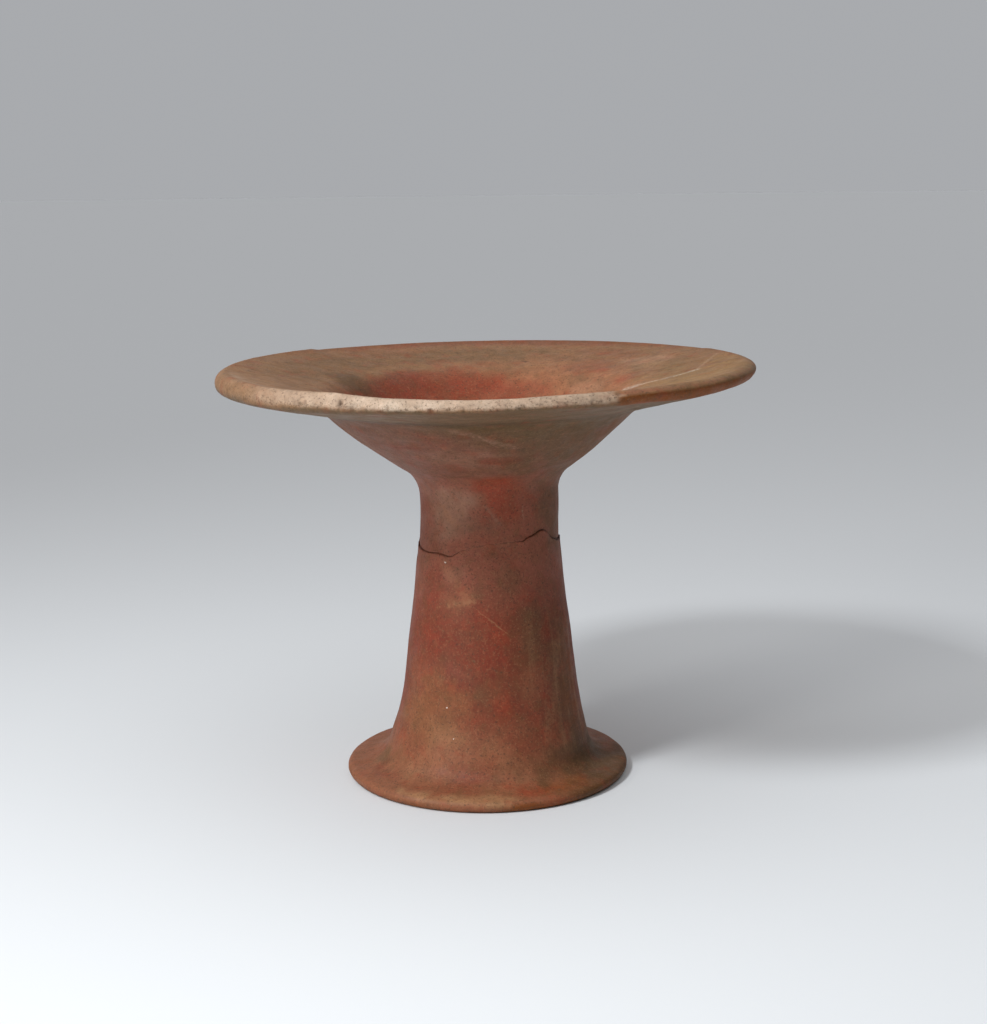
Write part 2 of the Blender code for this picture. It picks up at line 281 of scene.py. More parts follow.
@dataclass
class DishForm:
    """The dish's turned section and what the potter's hand did to it. Its overall sizes come from the frame."""

    crown_height: float
    rim_radius: float
    flange_width: float = 0.0599
    neck_below_crown: float = 0.0654
    neck_radius: float = 0.0402
    root_radius: float = 0.0614
    foot_overhang: float = 0.0212
    foot_edge: float = 0.0064
    foot_top_slope: float = math.radians(11.0)
    standing_ring: float = 0.0120
    recess_height: float = 0.0045
    flange_slope: float = math.radians(13.2)
    lip_thickness: float = 0.0104
    bowl_depth: float = 0.0560
    bowl_belly: float = 0.0012
    bowl_wall: float = 0.0105
    floor_thickness: float = 0.0100
    stem_wall: float = 0.0090
    hollow_side: tuple[float, float] = (0.10, 0.88)
    stem_taper: tuple = (
        (0.00, 1.000), (0.07, 0.880), (0.14, 0.690), (0.22, 0.553), (0.34, 0.424), (0.45, 0.318),
        (0.58, 0.172), (0.70, 0.085), (0.80, 0.020), (0.90, 0.000), (1.00, 0.000),
    )
    sway: tuple = (
        (0.00, -0.0013), (0.12, 0.0008), (0.33, 0.0014), (0.56, 0.0013), (0.69, 0.0016), (0.76, 0.0002),
        (0.80, -0.0006), (0.84, -0.0022), (0.92, -0.0018), (0.97, -0.0002), (1.00, 0.0004),
    )
    rim: UnevenRim = field(default_factory=UnevenRim)
    mend: MendedBreak = field(default_factory=MendedBreak)
    around: int = 512
    front_bias: float = 0.38

    @classmethod
    def from_box(cls, low: Vector, high: Vector) -> "DishForm":
        """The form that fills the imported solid's box.

        Args:
            low: The box's lowest corner.
            high: Its highest corner.

        Returns:
            The form, with its crown under the box's top by what the rim's tilt adds where the rim is highest.
        """
        rim_radius = (high.y - low.y) / 2
        lip_radius = rim_radius - cls.lip_thickness / 2
        raised = lip_radius * math.sin(math.radians(UnevenRim.highest)) * math.tan(UnevenRim.tilt)
        return cls(crown_height=high.z - raised, rim_radius=rim_radius)

    @property
    def bend_radius(self) -> float:
        """Where the bowl's underside bends out into the flange."""
        return self.rim_radius - self.flange_width

    @property
    def foot_radius(self) -> float:
        """The foot's outer radius."""
        return self.root_radius + self.foot_overhang

    @property
    def neck_height(self) -> float:
        """Where the stem's side turns out under the dish."""
        return self.crown_height - self.neck_below_crown

    @property
    def root_height(self) -> float:
        """Where the stem's side would meet the foot's upper face."""
        return self.foot_edge + (self.foot_overhang - self.foot_edge / 2) * math.tan(self.foot_top_slope)

    @property
    def stem_height(self) -> float:
        """From the root to the neck."""
        return self.neck_height - self.root_height

    @property
    def break_height(self) -> float:
        """The level that the break runs about."""
        return self.root_height + self.mend.up_stem * self.stem_height

    @property
    def taper_foot(self) -> float:
        """Where the stem's taper ends and its rounding into the foot sets in."""
        return self.root_height + 0.13 * self.stem_height

    @property
    def lip_centre(self) -> np.ndarray:
        """The middle of the lip's rounding, as radius and height."""
        return np.array((self.rim_radius - self.lip_thickness / 2, self.crown_height - self.lip_thickness / 2))

    def stem_radius(self, height: np.ndarray) -> np.ndarray:
        """The stem's outer radius at a height."""
        share = (height - self.root_height) / self.stem_height
        return self.neck_radius + (self.root_radius - self.neck_radius) * through(self.stem_taper, share)

    def runs(self) -> dict[Run, np.ndarray]:
        """Each run of the section as a fine line of radius and height pairs.

        Returns:
            The lines, each starting where the last one ends. Corners between straight faces are rounded by arcs,
            the lip and the foot's edge are half circles, and the stem follows its taper.
        """
        slope = self.flange_slope
        inward = np.array((-math.cos(slope), -math.sin(slope)))
        upward = np.array((-math.sin(slope), math.cos(slope)))
        top_start = self.lip_centre + upward * self.lip_thickness / 2
        under_start = self.lip_centre - upward * self.lip_thickness / 2
        neck = np.array((self.neck_radius, self.neck_height))
        bend = under_start + inward * (under_start[0] - self.bend_radius) / math.cos(slope)
        rise = (bend - neck) / np.linalg.norm(bend - neck)
        inner_start = neck + np.array((-rise[1], rise[0])) * self.bowl_wall
        mouth = crossing(inner_start, rise, top_start, inward)
        floor_level = self.crown_height - self.bowl_depth
        floor_edge = crossing(inner_start, rise, np.array((0.0, floor_level)), np.array((1.0, 0.0)))
        belly = np.array((rise[1], -rise[0])) * self.bowl_belly

        floor_turn = fillet(np.array((0.0, floor_level)), floor_edge, mouth, 0.022)
        mouth_turn = fillet(floor_edge, mouth, top_start, 0.030 + self.bowl_wall)
        lip_angles = np.linspace(math.pi / 2 + slope, slope - math.pi / 2, 65)
        lip = self.lip_centre + self.lip_thickness / 2 * np.column_stack((np.cos(lip_angles), np.sin(lip_angles)))
        bend_turn = fillet(under_start, bend, neck, 0.030)
        neck_turn = fillet(bend, neck, np.array((self.neck_radius, self.break_height)), 0.018)

        foot_start = np.array((self.foot_radius - self.foot_edge / 2, self.foot_edge))
        root_side = np.array((float(self.stem_radius(self.taper_foot)), self.taper_foot))
        root_turn = fillet(root_side, np.array((self.root_radius, self.root_height)), foot_start, 0.014)
        edge_angles = np.linspace(math.pi / 2, -math.pi / 2, 33)
        edge_centre = np.array((foot_start[0], self.foot_edge / 2))
        edge = edge_centre + self.foot_edge / 2 * np.column_stack((np.cos(edge_angles), np.sin(edge_angles)))

        hollow_top = floor_level - self.floor_thickness
        ring_inner = np.array((foot_start[0] - self.standing_ring, 0.0))
        recess = np.array((self.root_radius - self.stem_wall, self.recess_height))
        low, high = self.root_height + np.array(self.hollow_side) * (hollow_top - self.root_height)
        side_heights = np.linspace(low, high, 65)
        side = np.column_stack((self.stem_radius(side_heights) - self.stem_wall, side_heights))
        recess_turn = fillet(ring_inner, recess, side[0], 0.006)
        top_edge = np.array((side[-1][0], hollow_top))
        top_turn = fillet(side[-1], top_edge, np.array((0.0, hollow_top)), 0.008)

        break_top, break_foot = self.break_height + 0.0030, self.break_height - 0.0030
        lines = {
            Run.BOWL_FLOOR: np.array(((0.0, floor_level), floor_turn[0])),
            Run.FLOOR_TURN: floor_turn,
            Run.BOWL_WALL: self.bellied(floor_turn[-1], mouth_turn[0], belly),
            Run.MOUTH_TURN: mouth_turn,
            Run.FLANGE_TOP: np.array((mouth_turn[-1], top_start)),
            Run.LIP: lip,
            Run.FLANGE_UNDER: np.array((under_start, bend_turn[0])),
            Run.BEND_TURN: bend_turn,
            Run.BOWL_UNDER: self.bellied(bend_turn[-1], neck_turn[0], belly),
            Run.NECK_TURN: neck_turn,
            Run.STEM_ABOVE: self.stem_line(neck_turn[-1][1], break_top),
            Run.BREAK: self.stem_line(break_top, break_foot),
            Run.STEM_BELOW: np.concatenate((self.stem_line(break_foot, self.taper_foot), root_turn[:1])),
            Run.ROOT_TURN: root_turn,
            Run.FOOT_TOP: np.array((root_turn[-1], foot_start)),
            Run.FOOT_EDGE: edge,
            Run.STANDING_RING: np.array((edge[-1], ring_inner)),
            Run.RECESS_TURN: np.concatenate((ring_inner[None], recess_turn)),
            Run.HOLLOW_SIDE: np.concatenate((recess_turn[-1:], side, top_turn[:1])),
            Run.HOLLOW_TURN: top_turn,
            Run.HOLLOW_TOP: np.array((top_turn[-1], (0.0, hollow_top))),
        }
        return lines

    def stem_line(self, top: float, foot: float) -> np.ndarray:
        """The stem's side between two heights, a little narrower above the break and wider under it."""
        heights = np.linspace(top, foot, 129)
        return np.column_stack((self.stem_radius(heights) + self.mend.step * self.ledge(heights), heights))

    def ledge(self, height: np.ndarray) -> np.ndarray:
        """The share of the break's step at a height: 1 just under the break, -1 just over it, fading both ways."""
        above = smooth(self.neck_height - 0.006, self.break_height, height) * (height > self.break_height)
        below = smooth(self.taper_foot, self.break_height, height) * (height <= self.break_height)
        return below - above

    @staticmethod
    def bellied(start: np.ndarray, end: np.ndarray, belly: np.ndarray) -> np.ndarray:
        """A straight face that swells by a parabola's arc, most in its middle."""
        share = np.linspace(0, 1, 65)[:, None]
        return start + (end - start) * share + belly * 4 * share * (1 - share)

    def section(self) -> tuple[np.ndarray, np.ndarray, np.ndarray]:
        """The whole section as rings.

        Returns:
            Radius and height of each ring, the index in RUNS of the run that it lies on, and its share along that
            run. Each run's rings are spaced evenly along it, and the break's are packed towards its middle.
        """
        rings, labels, shares = [], [], []
        for index, (run, line) in enumerate(self.runs().items()):
            length = np.concatenate(([0.0], np.cumsum(np.linalg.norm(np.diff(line, axis=0), axis=1))))
            share = np.arange(RINGS[run]) / RINGS[run]
            if run is Run.BREAK:
                share = 0.5 + 0.5 * (2 * share - 1) * (0.35 + 0.65 * np.abs(2 * share - 1))
            at = share * length[-1]
            rings.append(np.column_stack([np.interp(at, length, line[:, axis]) for axis in (0, 1)]))
            labels.append(np.full(RINGS[run], index))
            shares.append(share)
        rings.append(line[-1:])
        labels.append([len(RUNS) - 1])
        shares.append([1.0])
        return np.concatenate(rings), np.concatenate(labels), np.concatenate(shares)

    def azimuths(self) -> np.ndarray:
        """The columns' azimuths in degrees, closer together on the seen side."""
        turn = np.arange(self.around) / self.around * math.tau
        return np.degrees(turn - self.front_bias * np.sin(turn))

    def worked(self, radius: np.ndarray, height: np.ndarray, azimuth: np.ndarray) -> np.ndarray:
        """Moves turned points to where the potter's hand, the firing and the mending left them.

        Args:
            radius: Each point's radius in the section.
            height: Its height there.
            azimuth: Its azimuth in degrees.

        Returns:
            The points, one a row.
        """
        rim, z = self.rim, height.copy()
        outside = radius > self.stem_radius(height) - self.stem_wall / 2
        reach = self.mend.reach * self.stem_height
        near = (1 - smooth(0.0, reach, np.abs(z - self.break_height))) * outside
        turn = np.radians(azimuth)
        around = np.column_stack((np.sin(turn), -np.cos(turn), np.zeros(len(turn)))) * self.neck_radius
        frayed = self.mend.fray * layered_noise(around, (0.0040, 0.0040, 0.0040), 77, 2)
        z += near * (self.mend.shift(azimuth) + frayed)
        closed = span_weight(azimuth, self.mend.closed, self.mend.closing) * outside
        at_break = np.abs(height - self.break_height) < 0.0004
        stands_out = np.where(at_break, radius - self.stem_radius(height), self.mend.step * self.ledge(height))
        radius = radius - closed * stands_out

        lifted = span_weight(azimuth, rim.lifted, rim.lifted_ease)
        thickness, sunk = rim.round_rim(azimuth)
        on_flange = smooth(self.bend_radius, self.lip_centre[0], radius) * (z > self.neck_height)
        flange_top = self.crown_height - np.maximum(self.lip_centre[0] - radius, 0) * math.tan(self.flange_slope)
        z += on_flange * (flange_top - z) * (1 - thickness)
        z += on_flange * (rim.lifted_by * lifted - self.lip_thickness * sunk)

        x = radius * np.sin(turn) + through(self.sway, z / self.crown_height)
        y = -radius * np.cos(turn)
        z += smooth(self.neck_height - 0.2 * self.neck_below_crown, self.neck_height, z) * x * math.tan(rim.tilt)
        return np.column_stack((x, y, z))


@dataclass
class ClaySurface:
    """The dish's surface on a grid of rings and columns, with what each point is and how worn it is."""

    form: DishForm
    place: np.ndarray = field(init=False)
    outward: np.ndarray = field(init=False)

    def __post_init__(self) -> None:
        """Lays out the grid and works the form's unevenness into it."""
        section, labels, shares = self.form.section()
        azimuth = self.form.azimuths()
        steps = np.linalg.norm(np.diff(section, axis=0), axis=1)
        self.ring_path = np.concatenate(([0.0], np.cumsum(steps)))
        self.ring_label, self.ring_share = labels, shares
        self.shape = (len(section), len(azimuth))
        self.radius = np.repeat(section[:, 0], len(azimuth))
        self.height = np.repeat(section[:, 1], len(azimuth))
        self.label = np.repeat(labels, len(azimuth))
        self.share = np.repeat(shares, len(azimuth))
        self.path = np.repeat(self.ring_path, len(azimuth))
        self.azimuth = np.tile(azimuth, len(section))
        self.place = self.form.worked(self.radius, self.height, self.azimuth)
        self.outward = self.normals()

    def path_at(self, run: Run, share: float) -> float:
        """How far along the section a share of a run lies, in metres from the middle of the bowl's floor."""
        index = RUNS.index(run)
        start = self.ring_path[self.ring_label == index][0]
        end = self.ring_path[self.ring_label > index][0] if index < len(RUNS) - 1 else self.ring_path[-1]
        return float(start + share * (end - start))

    def from_spot(self, run: Run, share: float, azimuth: float) -> tuple[np.ndarray, np.ndarray]:
        """How far each point lies across and along from a spot.

        Args:
            run: The run that the spot is on.
            share: How far along that run.
            azimuth: Its azimuth in degrees.

        Returns:
            The distance round the axis and the distance along the section, in metres.
        """
        across = np.radians(turned(self.azimuth, azimuth)) * self.radius
        return across, self.path - self.path_at(run, share)

    def normals(self) -> np.ndarray:
        """Unit normals, from the cross product of the steps along the rings and along the section."""
        grid = self.place.reshape(*self.shape, 3)
        around = np.roll(grid, -1, axis=1) - np.roll(grid, 1, axis=1)
        along = np.gradient(grid, axis=0)
        normal = np.cross(along, around)
        length = np.linalg.norm(normal, axis=2, keepdims=True)
        normal /= np.maximum(length, 1e-12)
        normal[0] = (0, 0, 1)
        normal[-1] = (0, 0, -1)
        return normal.reshape(-1, 3)

    def on(self, *runs: Run) -> np.ndarray:
        """Whether each point lies on one of the runs."""
        return np.isin(self.label, [RUNS.index(run) for run in runs])

    def mesh(self, name: str) -> bpy.types.Mesh:
        """A closed mesh: quads between the rings and a fan of triangles at each end on the axis."""
        rings, columns = self.shape
        middle = self.place[columns:-columns]
        points = np.concatenate((self.place[:1], middle, self.place[-1:]))
        ring = np.arange(rings - 3)[:, None] * columns + 1
        here = np.arange(columns)[None, :]
        there = (here + 1) % columns
        quads = np.stack((ring + here, ring + columns + here, ring + columns + there, ring + there), axis=-1)
        quads = quads.reshape(-1, 4)
        first = np.column_stack((np.zeros(columns, int), 1 + here[0], 1 + there[0]))
        base = len(points) - 1 - columns
        last = np.column_stack((np.full(columns, len(points) - 1), base + there[0], base + here[0]))
        corners = np.concatenate((quads.ravel(), first.ravel(), last.ravel()))
        counts = np.concatenate((np.full(len(quads), 4), np.full(2 * columns, 3)))
        mesh = bpy.data.meshes.new(name)
        mesh.vertices.add(len(points))
        mesh.vertices.foreach_set("co", points.astype(np.float32).ravel())
        mesh.loops.add(len(corners))
        mesh.loops.foreach_set("vertex_index", corners.astype(np.int32))
        mesh.polygons.add(len(counts))
        mesh.polygons.foreach_set("loop_start", np.concatenate(([0], np.cumsum(counts)[:-1])).astype(np.int32))
        mesh.update(calc_edges=True)
        mesh.validate()
        mesh.shade_smooth()
        return mesh

    def spread(self, mesh: bpy.types.Mesh, name: str, values: np.ndarray) -> None:
        """Stores a value, a direction or a colour for each point of the mesh.

        Args:
            mesh: The mesh that was made from this surface.
            name: The attribute's name.
            values: One row for each point of the grid, with one, three or four columns.
        """
        columns = self.shape[1]
        kept = np.concatenate((values[:1], values[columns:-columns], values[-1:])).astype(np.float32)
        kind, key = {1: ("FLOAT", "value"), 3: ("FLOAT_VECTOR", "vector"), 4: ("FLOAT_COLOR", "color")}[
            kept.size // len(kept)
        ]
        mesh.attributes.new(name, kind, "POINT").data.foreach_set(key, kept.ravel())


@dataclass(frozen=True)
class Lamp:
    """A square soft light: its name, where it hangs, what it points at, its side, watts, tint and spread."""

    name: str
    at: Colour
    aim: Colour
    side: float
    power: float
    tint: Colour
    spread: float

    def hang(self) -> None:
        """Hangs the light in the scene."""
        data = bpy.data.lights.new(self.name, "AREA")
        data.size = self.side
        data.energy = self.power
        data.color = self.tint
        data.spread = math.radians(self.spread)
        lamp = bpy.data.objects.new(self.name, data)
        lamp.location = self.at
        lamp.rotation_euler = (Vector(self.aim) - Vector(self.at)).to_track_quat("-Z", "Y").to_euler()
        bpy.context.scene.collection.objects.link(lamp)


@dataclass(frozen=True)
class Studio:
    """A plain pale floor, soft lights and the camera at the photograph's viewing angle."""

    distance: float = 0.98973
    height: float = 0.34219
    aside: float = -0.0002
    pitch: float = 0.18864
    yaw: float = -0.00429
    roll: float = -0.01118
    lens: float = 61.11
    floor_radius: float = 40.0
    paper: Colour = (0.78, 0.80, 0.82)
    overhead: Colour = (0.86, 0.86, 0.87)
    behind: Colour = (0.395, 0.405, 0.423)
    beside: Colour = (0.05, 0.05, 0.05)
    lamps: tuple[Lamp, ...] = (
        Lamp("key", (-1.30, -1.15, 0.70), (0.0, 0.0, 0.13), 0.35, 5.2, (1.0, 0.97, 0.92), 180.0),
        Lamp("pool", (-0.95, -0.85, 1.30), (0.0, -0.35, 0.0), 0.30, 4.8, (0.95, 0.98, 1.0), 85.0),
    )

    def camera(self) -> bpy.types.Object:
        """The camera, from its place, its pitch, its small yaw and its roll."""
        data = bpy.data.cameras.new("camera")
        data.lens = self.lens
        data.sensor_width = 36.0
        data.sensor_fit = "AUTO"
        data.clip_end = 50.0
        level = Vector((-math.sin(self.yaw), math.cos(self.yaw), 0.0))
        right = Vector((math.cos(self.yaw), math.sin(self.yaw), 0.0))
        ahead = level * math.cos(self.pitch) - Vector((0, 0, math.sin(self.pitch)))
        upright = level * math.sin(self.pitch) + Vector((0, 0, math.cos(self.pitch)))
        across = right * math.cos(self.roll) + upright * math.sin(self.roll)
        up = upright * math.cos(self.roll) - right * math.sin(self.roll)
        camera = bpy.data.objects.new("camera", data)
        camera.matrix_world = Matrix((across, up, -ahead)).transposed().to_4x4()
        camera.location = (self.aside, -self.distance, self.height)
        bpy.context.scene.collection.objects.link(camera)
        bpy.context.scene.camera = camera
        return camera

    def floor(self) -> bpy.types.Object:
        """A round pale floor, one flat face of 96 sides."""
        turn = np.linspace(0, math.tau, 97)[:-1]
        rim = np.column_stack((np.cos(turn), np.sin(turn), np.zeros(96))) * self.floor_radius
        rim[:, 2] = -0.0002
        mesh = bpy.data.meshes.new("floor")
        mesh.from_pydata(rim.tolist(), [], [list(range(96))])
        material = bpy.data.materials.new("floor_paper")
        material.use_nodes = True
        shader = material.node_tree.nodes["Principled BSDF"]
        shader.inputs["Base Color"].default_value = (*self.paper, 1.0)
        shader.inputs["Roughness"].default_value = 0.9
        shader.inputs["Specular IOR Level"].default_value = 0.2
        mesh.materials.append(material)
        floor = bpy.data.objects.new("floor", mesh)
        bpy.context.scene.collection.objects.link(floor)
        return floor

    def surroundings(self) -> None:
        """Soft surroundings: light overhead, as grey behind as the far floor, dark in front and at the sides."""
        world = bpy.data.worlds.new("surroundings")
        world.use_nodes = True
        tree = world.node_tree
        place = tree.nodes.new("ShaderNodeTexCoord")
        split = tree.nodes.new("ShaderNodeSeparateXYZ")
        tree.links.new(place.outputs["Generated"], split.inputs[0])
        level = self.blend(tree, split.outputs["Y"], (0.55, 0.85), self.beside, self.behind)
        sky = self.blend(tree, split.outputs["Z"], (0.50, 0.85), level, self.overhead)
        tree.links.new(sky, tree.nodes["Background"].inputs["Color"])
        bpy.context.scene.world = world

    @staticmethod
    def blend(tree: bpy.types.NodeTree, value, span: tuple[float, float], low, high: Colour):
        """A colour that eases from one to another as a value rises.

        Args:
            tree: The node tree to add to.
            value: The output that gives the value.
            span: Where the change starts and ends.
            low: The colour under the span, or the output that gives it.
            high: The colour above it.

        Returns:
            The output with the blended colour.
        """
        share = tree.nodes.new("ShaderNodeMapRange")
        share.interpolation_type = "SMOOTHSTEP"
        share.inputs["From Min"].default_value, share.inputs["From Max"].default_value = span
        tree.links.new(value, share.inputs["Value"])
        mix = tree.nodes.new("ShaderNodeMix")
        mix.data_type = "RGBA"
        tree.links.new(share.outputs["Result"], mix.inputs["Factor"])
        if isinstance(low, tuple):
            mix.inputs[6].default_value = (*low, 1.0)
        else:
            tree.links.new(low, mix.inputs[6])
        mix.inputs[7].default_value = (*high, 1.0)
        return mix.outputs[2]

    def build(self) -> None:
        """Puts up the camera, the floor, the lamps and the pale surroundings."""
        bpy.context.scene.view_settings.view_transform = "Standard"
        self.surroundings()
        self.camera()
        self.floor()
        for lamp in self.lamps:
            lamp.hang()


@dataclass(frozen=True)
class Chip:
    """A bruise knocked out of the clay: where it lies, its half sizes and its depth in metres."""

    run: Run
    share: float
    azimuth: float
    across: float
    along: float
    depth: float


@dataclass(frozen=True)
class HandWork:
    """The relief that the potter's hand, the breaking, the wear and the burial left on the turned form."""

    undulation: float = 0.00034
    graining: float = 0.00009
    wiping: float = 0.00010
    pit_depth: float = 0.00045
    foot_clear: float = 0.0040
    front_wear: tuple[float, float] = (-34.0, 24.0)
    wear_flat: float = 0.0032
    squared: tuple[float, float] = (26.0, 116.0)
    edge_share: float = 0.46
    edge_swell: float = 0.0008
    coil_height: float = 0.0150
    coil_swell: float = 0.00045
    chips: tuple[Chip, ...] = (
        Chip(Run.LIP, 0.55, -28.4, 0.0018, 0.0044, 0.0015),
        Chip(Run.LIP, 0.62, -27.4, 0.0015, 0.0018, 0.0008),
        Chip(Run.LIP, 0.60, -37.5, 0.0016, 0.0012, 0.0005),
        Chip(Run.LIP, 0.66, -55.0, 0.0020, 0.0012, 0.0005),
        Chip(Run.LIP, 0.70, -10.0, 0.0018, 0.0012, 0.0006),
        Chip(Run.LIP, 0.68, 6.4, 0.0016, 0.0012, 0.0006),
        Chip(Run.LIP, 0.30, 26.0, 0.0022, 0.0020, 0.0006),
        Chip(Run.LIP, 0.18, 40.0, 0.0016, 0.0012, 0.0005),
        Chip(Run.LIP, 0.15, 57.0, 0.0020, 0.0012, 0.0005),
        Chip(Run.LIP, 0.50, 150.0, 0.0030, 0.0020, 0.0007),
        Chip(Run.FOOT_EDGE, 0.45, 128.0, 0.0050, 0.0020, 0.0007),
        Chip(Run.STEM_BELOW, 0.85, 9.0, 0.0008, 0.0008, 0.0004),
        Chip(Run.FLANGE_TOP, 0.16, 165.5, 0.0018, 0.0012, 0.0005),
        Chip(Run.BOWL_UNDER, 0.33, 16.0, 0.0028, 0.0012, 0.0004),
        Chip(Run.BEND_TURN, 0.68, -6.3, 0.0022, 0.0010, 0.0004),
    )

    def worn_lip(self, surface: ClaySurface) -> np.ndarray:
        """How far the lip is rubbed bare, most in front where it rests on the hand."""
        front = span_weight(surface.azimuth, self.front_wear, (10.0, 5.0))
        return surface.on(Run.LIP) * front

    def pits(self, surface: ClaySurface) -> np.ndarray:
        """Where the rubbed lip is pitted, from 0 to 1: dense under the rubbed face in front."""
        spots = lattice_noise(surface.place, (0.0021, 0.0021, 0.0017), 61)
        band = surface.on(Run.LIP) * smooth(0.36, 0.56, surface.share) * (1 - smooth(0.72, 0.84, surface.share))
        front = span_weight(surface.azimuth, (-36.0, 22.0), (24.0, 6.0))
        crowd = 0.55 + 0.45 * span_weight(surface.azimuth, (-22.0, 10.0), (8.0, 8.0))
        return band * front * smooth(0.62 - 0.40 * crowd, 0.82 - 0.30 * crowd, spots)

    def gape(self, surface: ClaySurface) -> np.ndarray:
        """How deep in the break each point is, from 0 beside it to 1 in its bottom."""
        form = surface.form
        near = surface.on(Run.STEM_ABOVE, Run.BREAK, Run.STEM_BELOW)
        torn = lattice_noise(surface.place, (0.0023, 0.0023, 0.0060), 71)
        crumbled = lattice_noise(surface.place, (0.0060, 0.0060, 0.0200), 72)
        width = form.mend.gap(surface.azimuth) * (1 + 0.45 * torn + 0.35 * crumbled)
        away = np.abs(surface.height - form.break_height + 0.0003 * torn)
        return near * (1 - smooth(0.45 * width, 1.05 * width, away))

    def bruises(self, surface: ClaySurface) -> tuple[np.ndarray, np.ndarray]:
        """The chips' depth at each point, and how fully each point lies in a chip."""
        depth, fill = np.zeros(len(surface.place)), np.zeros(len(surface.place))
        ragged = lattice_noise(surface.place, (0.0024, 0.0024, 0.0024), 83)
        for chip in self.chips:
            across, along = surface.from_spot(chip.run, chip.share, chip.azimuth)
            inside = 1 - smooth(0.35, 1.15, np.hypot(across / chip.across, along / chip.along) + 0.3 * ragged)
            depth = np.maximum(depth, inside * chip.depth)
            fill = np.maximum(fill, inside)
        return depth, fill

    def lip_shape(self, surface: ClaySurface) -> np.ndarray:
        """What the wear takes off the front of the lip, and what the crisper lip on the right adds.

        Args:
            surface: The surface that is worked.

        Returns:
            The height outwards: a flat is a chord across the lip's round, and the crisp edge is a straight rise
            to it from both sides.
        """
        share, lip = surface.share, surface.on(Run.LIP)
        away = (share - 0.46) * math.pi
        half = 0.24 * math.pi
        chord = np.maximum(1 - math.cos(half) / np.cos(np.clip(away, -half, half)), 0) * (np.abs(away) < half)
        flat = self.wear_flat * chord * self.worn_lip(surface)
        fragment = span_weight(surface.azimuth, self.squared, (3.0, 3.0))
        edge = np.maximum(1 - np.abs(share - self.edge_share) / 0.24, 0)
        return lip * self.edge_swell * edge * fragment - flat

    def press_into(self, surface: ClaySurface) -> None:
        """Moves the surface's points along their outward directions."""
        place, share = surface.place, surface.share
        inside = surface.on(Run.RECESS_TURN, Run.HOLLOW_SIDE, Run.HOLLOW_TURN, Run.HOLLOW_TOP)
        lip = surface.on(Run.LIP)
        calm = 1 - 0.75 * lip
        relief = calm * self.undulation * layered_noise(place, (0.036, 0.036, 0.026), 1, 3)
        relief += self.graining * layered_noise(place, (0.0068, 0.0068, 0.0052), 11, 2)
        wiped = np.column_stack((place[:, 0] * 0.25, place[:, 1] * 0.25, surface.path))
        below = surface.on(Run.FLANGE_UNDER, Run.BEND_TURN, Run.BOWL_UNDER, Run.NECK_TURN)
        relief += self.wiping * (0.4 + below) * lattice_noise(wiped, (0.0110, 0.0110, 0.0056), 21)
        coils = np.sin(surface.path / self.coil_height * math.tau + 2 * lattice_noise(place, (0.05, 0.05, 0.05), 31))
        relief += inside * self.coil_swell * coils
        relief += self.lip_shape(surface)
        relief -= self.pit_depth * self.pits(surface)
        relief -= self.bruises(surface)[0]
        gap = surface.form.mend.gap(surface.azimuth)
        relief -= surface.form.mend.depth * np.minimum(gap / 0.0006, 1.2) ** 2 * self.gape(surface)
        firm = smooth(0.0, self.foot_clear, surface.height) * ~surface.on(Run.STANDING_RING)
        edge = surface.on(Run.FOOT_EDGE) * (share > 0.5)
        surface.place = place + surface.outward * (relief * firm * (1 - edge * smooth(0.5, 0.9, share)))[:, None]
        surface.place[:, 2] = np.maximum(surface.place[:, 2], 0.0)


class Pigment(Enum):
    """The colours of the clay, its slip and what lies on it, as linear reflectance."""

    RED_SLIP = (0.208, 0.040, 0.020)
    FADED_RED = (0.300, 0.088, 0.052)
    DEEP_RED = (0.215, 0.036, 0.018)
    BRIGHT_RED = (0.310, 0.046, 0.019)
    PURPLE_RED = (0.215, 0.080, 0.050)
    BOWL_RED = (0.215, 0.056, 0.020)
    SALMON = (0.410, 0.170, 0.080)
    TAN_SLIP = (0.300, 0.150, 0.068)
    OCHRE_BROWN = (0.400, 0.222, 0.078)
    ORANGE_CLAY = (0.290, 0.102, 0.050)
    RUST_BROWN = (0.225, 0.054, 0.002)
    GREY_GREEN = (0.132, 0.077, 0.034)
    DARK_GREEN = (0.070, 0.048, 0.026)
    DARK_BROWN = (0.098, 0.047, 0.016)
    OLIVE_CLAY = (0.172, 0.106, 0.056)
    CREAM_CLAY = (0.440, 0.240, 0.115)
    RUBBED_CLAY = (0.720, 0.580, 0.455)
    PINK_CLAY = (0.500, 0.310, 0.200)
    PALE_FILM = (0.380, 0.200, 0.130)
    DARK_DIRT = (0.060, 0.035, 0.022)
    HOLLOW_BUFF = (0.300, 0.160, 0.090)


@dataclass(frozen=True)
class ColourPatch:
    """A patch of another colour: its middle, half sizes in metres, pigment, strength and how torn its edge is."""

    run: Run
    share: float
    azimuth: float
    across: float
    along: float
    pigment: Pigment
    strength: float
    torn: float = 0.45


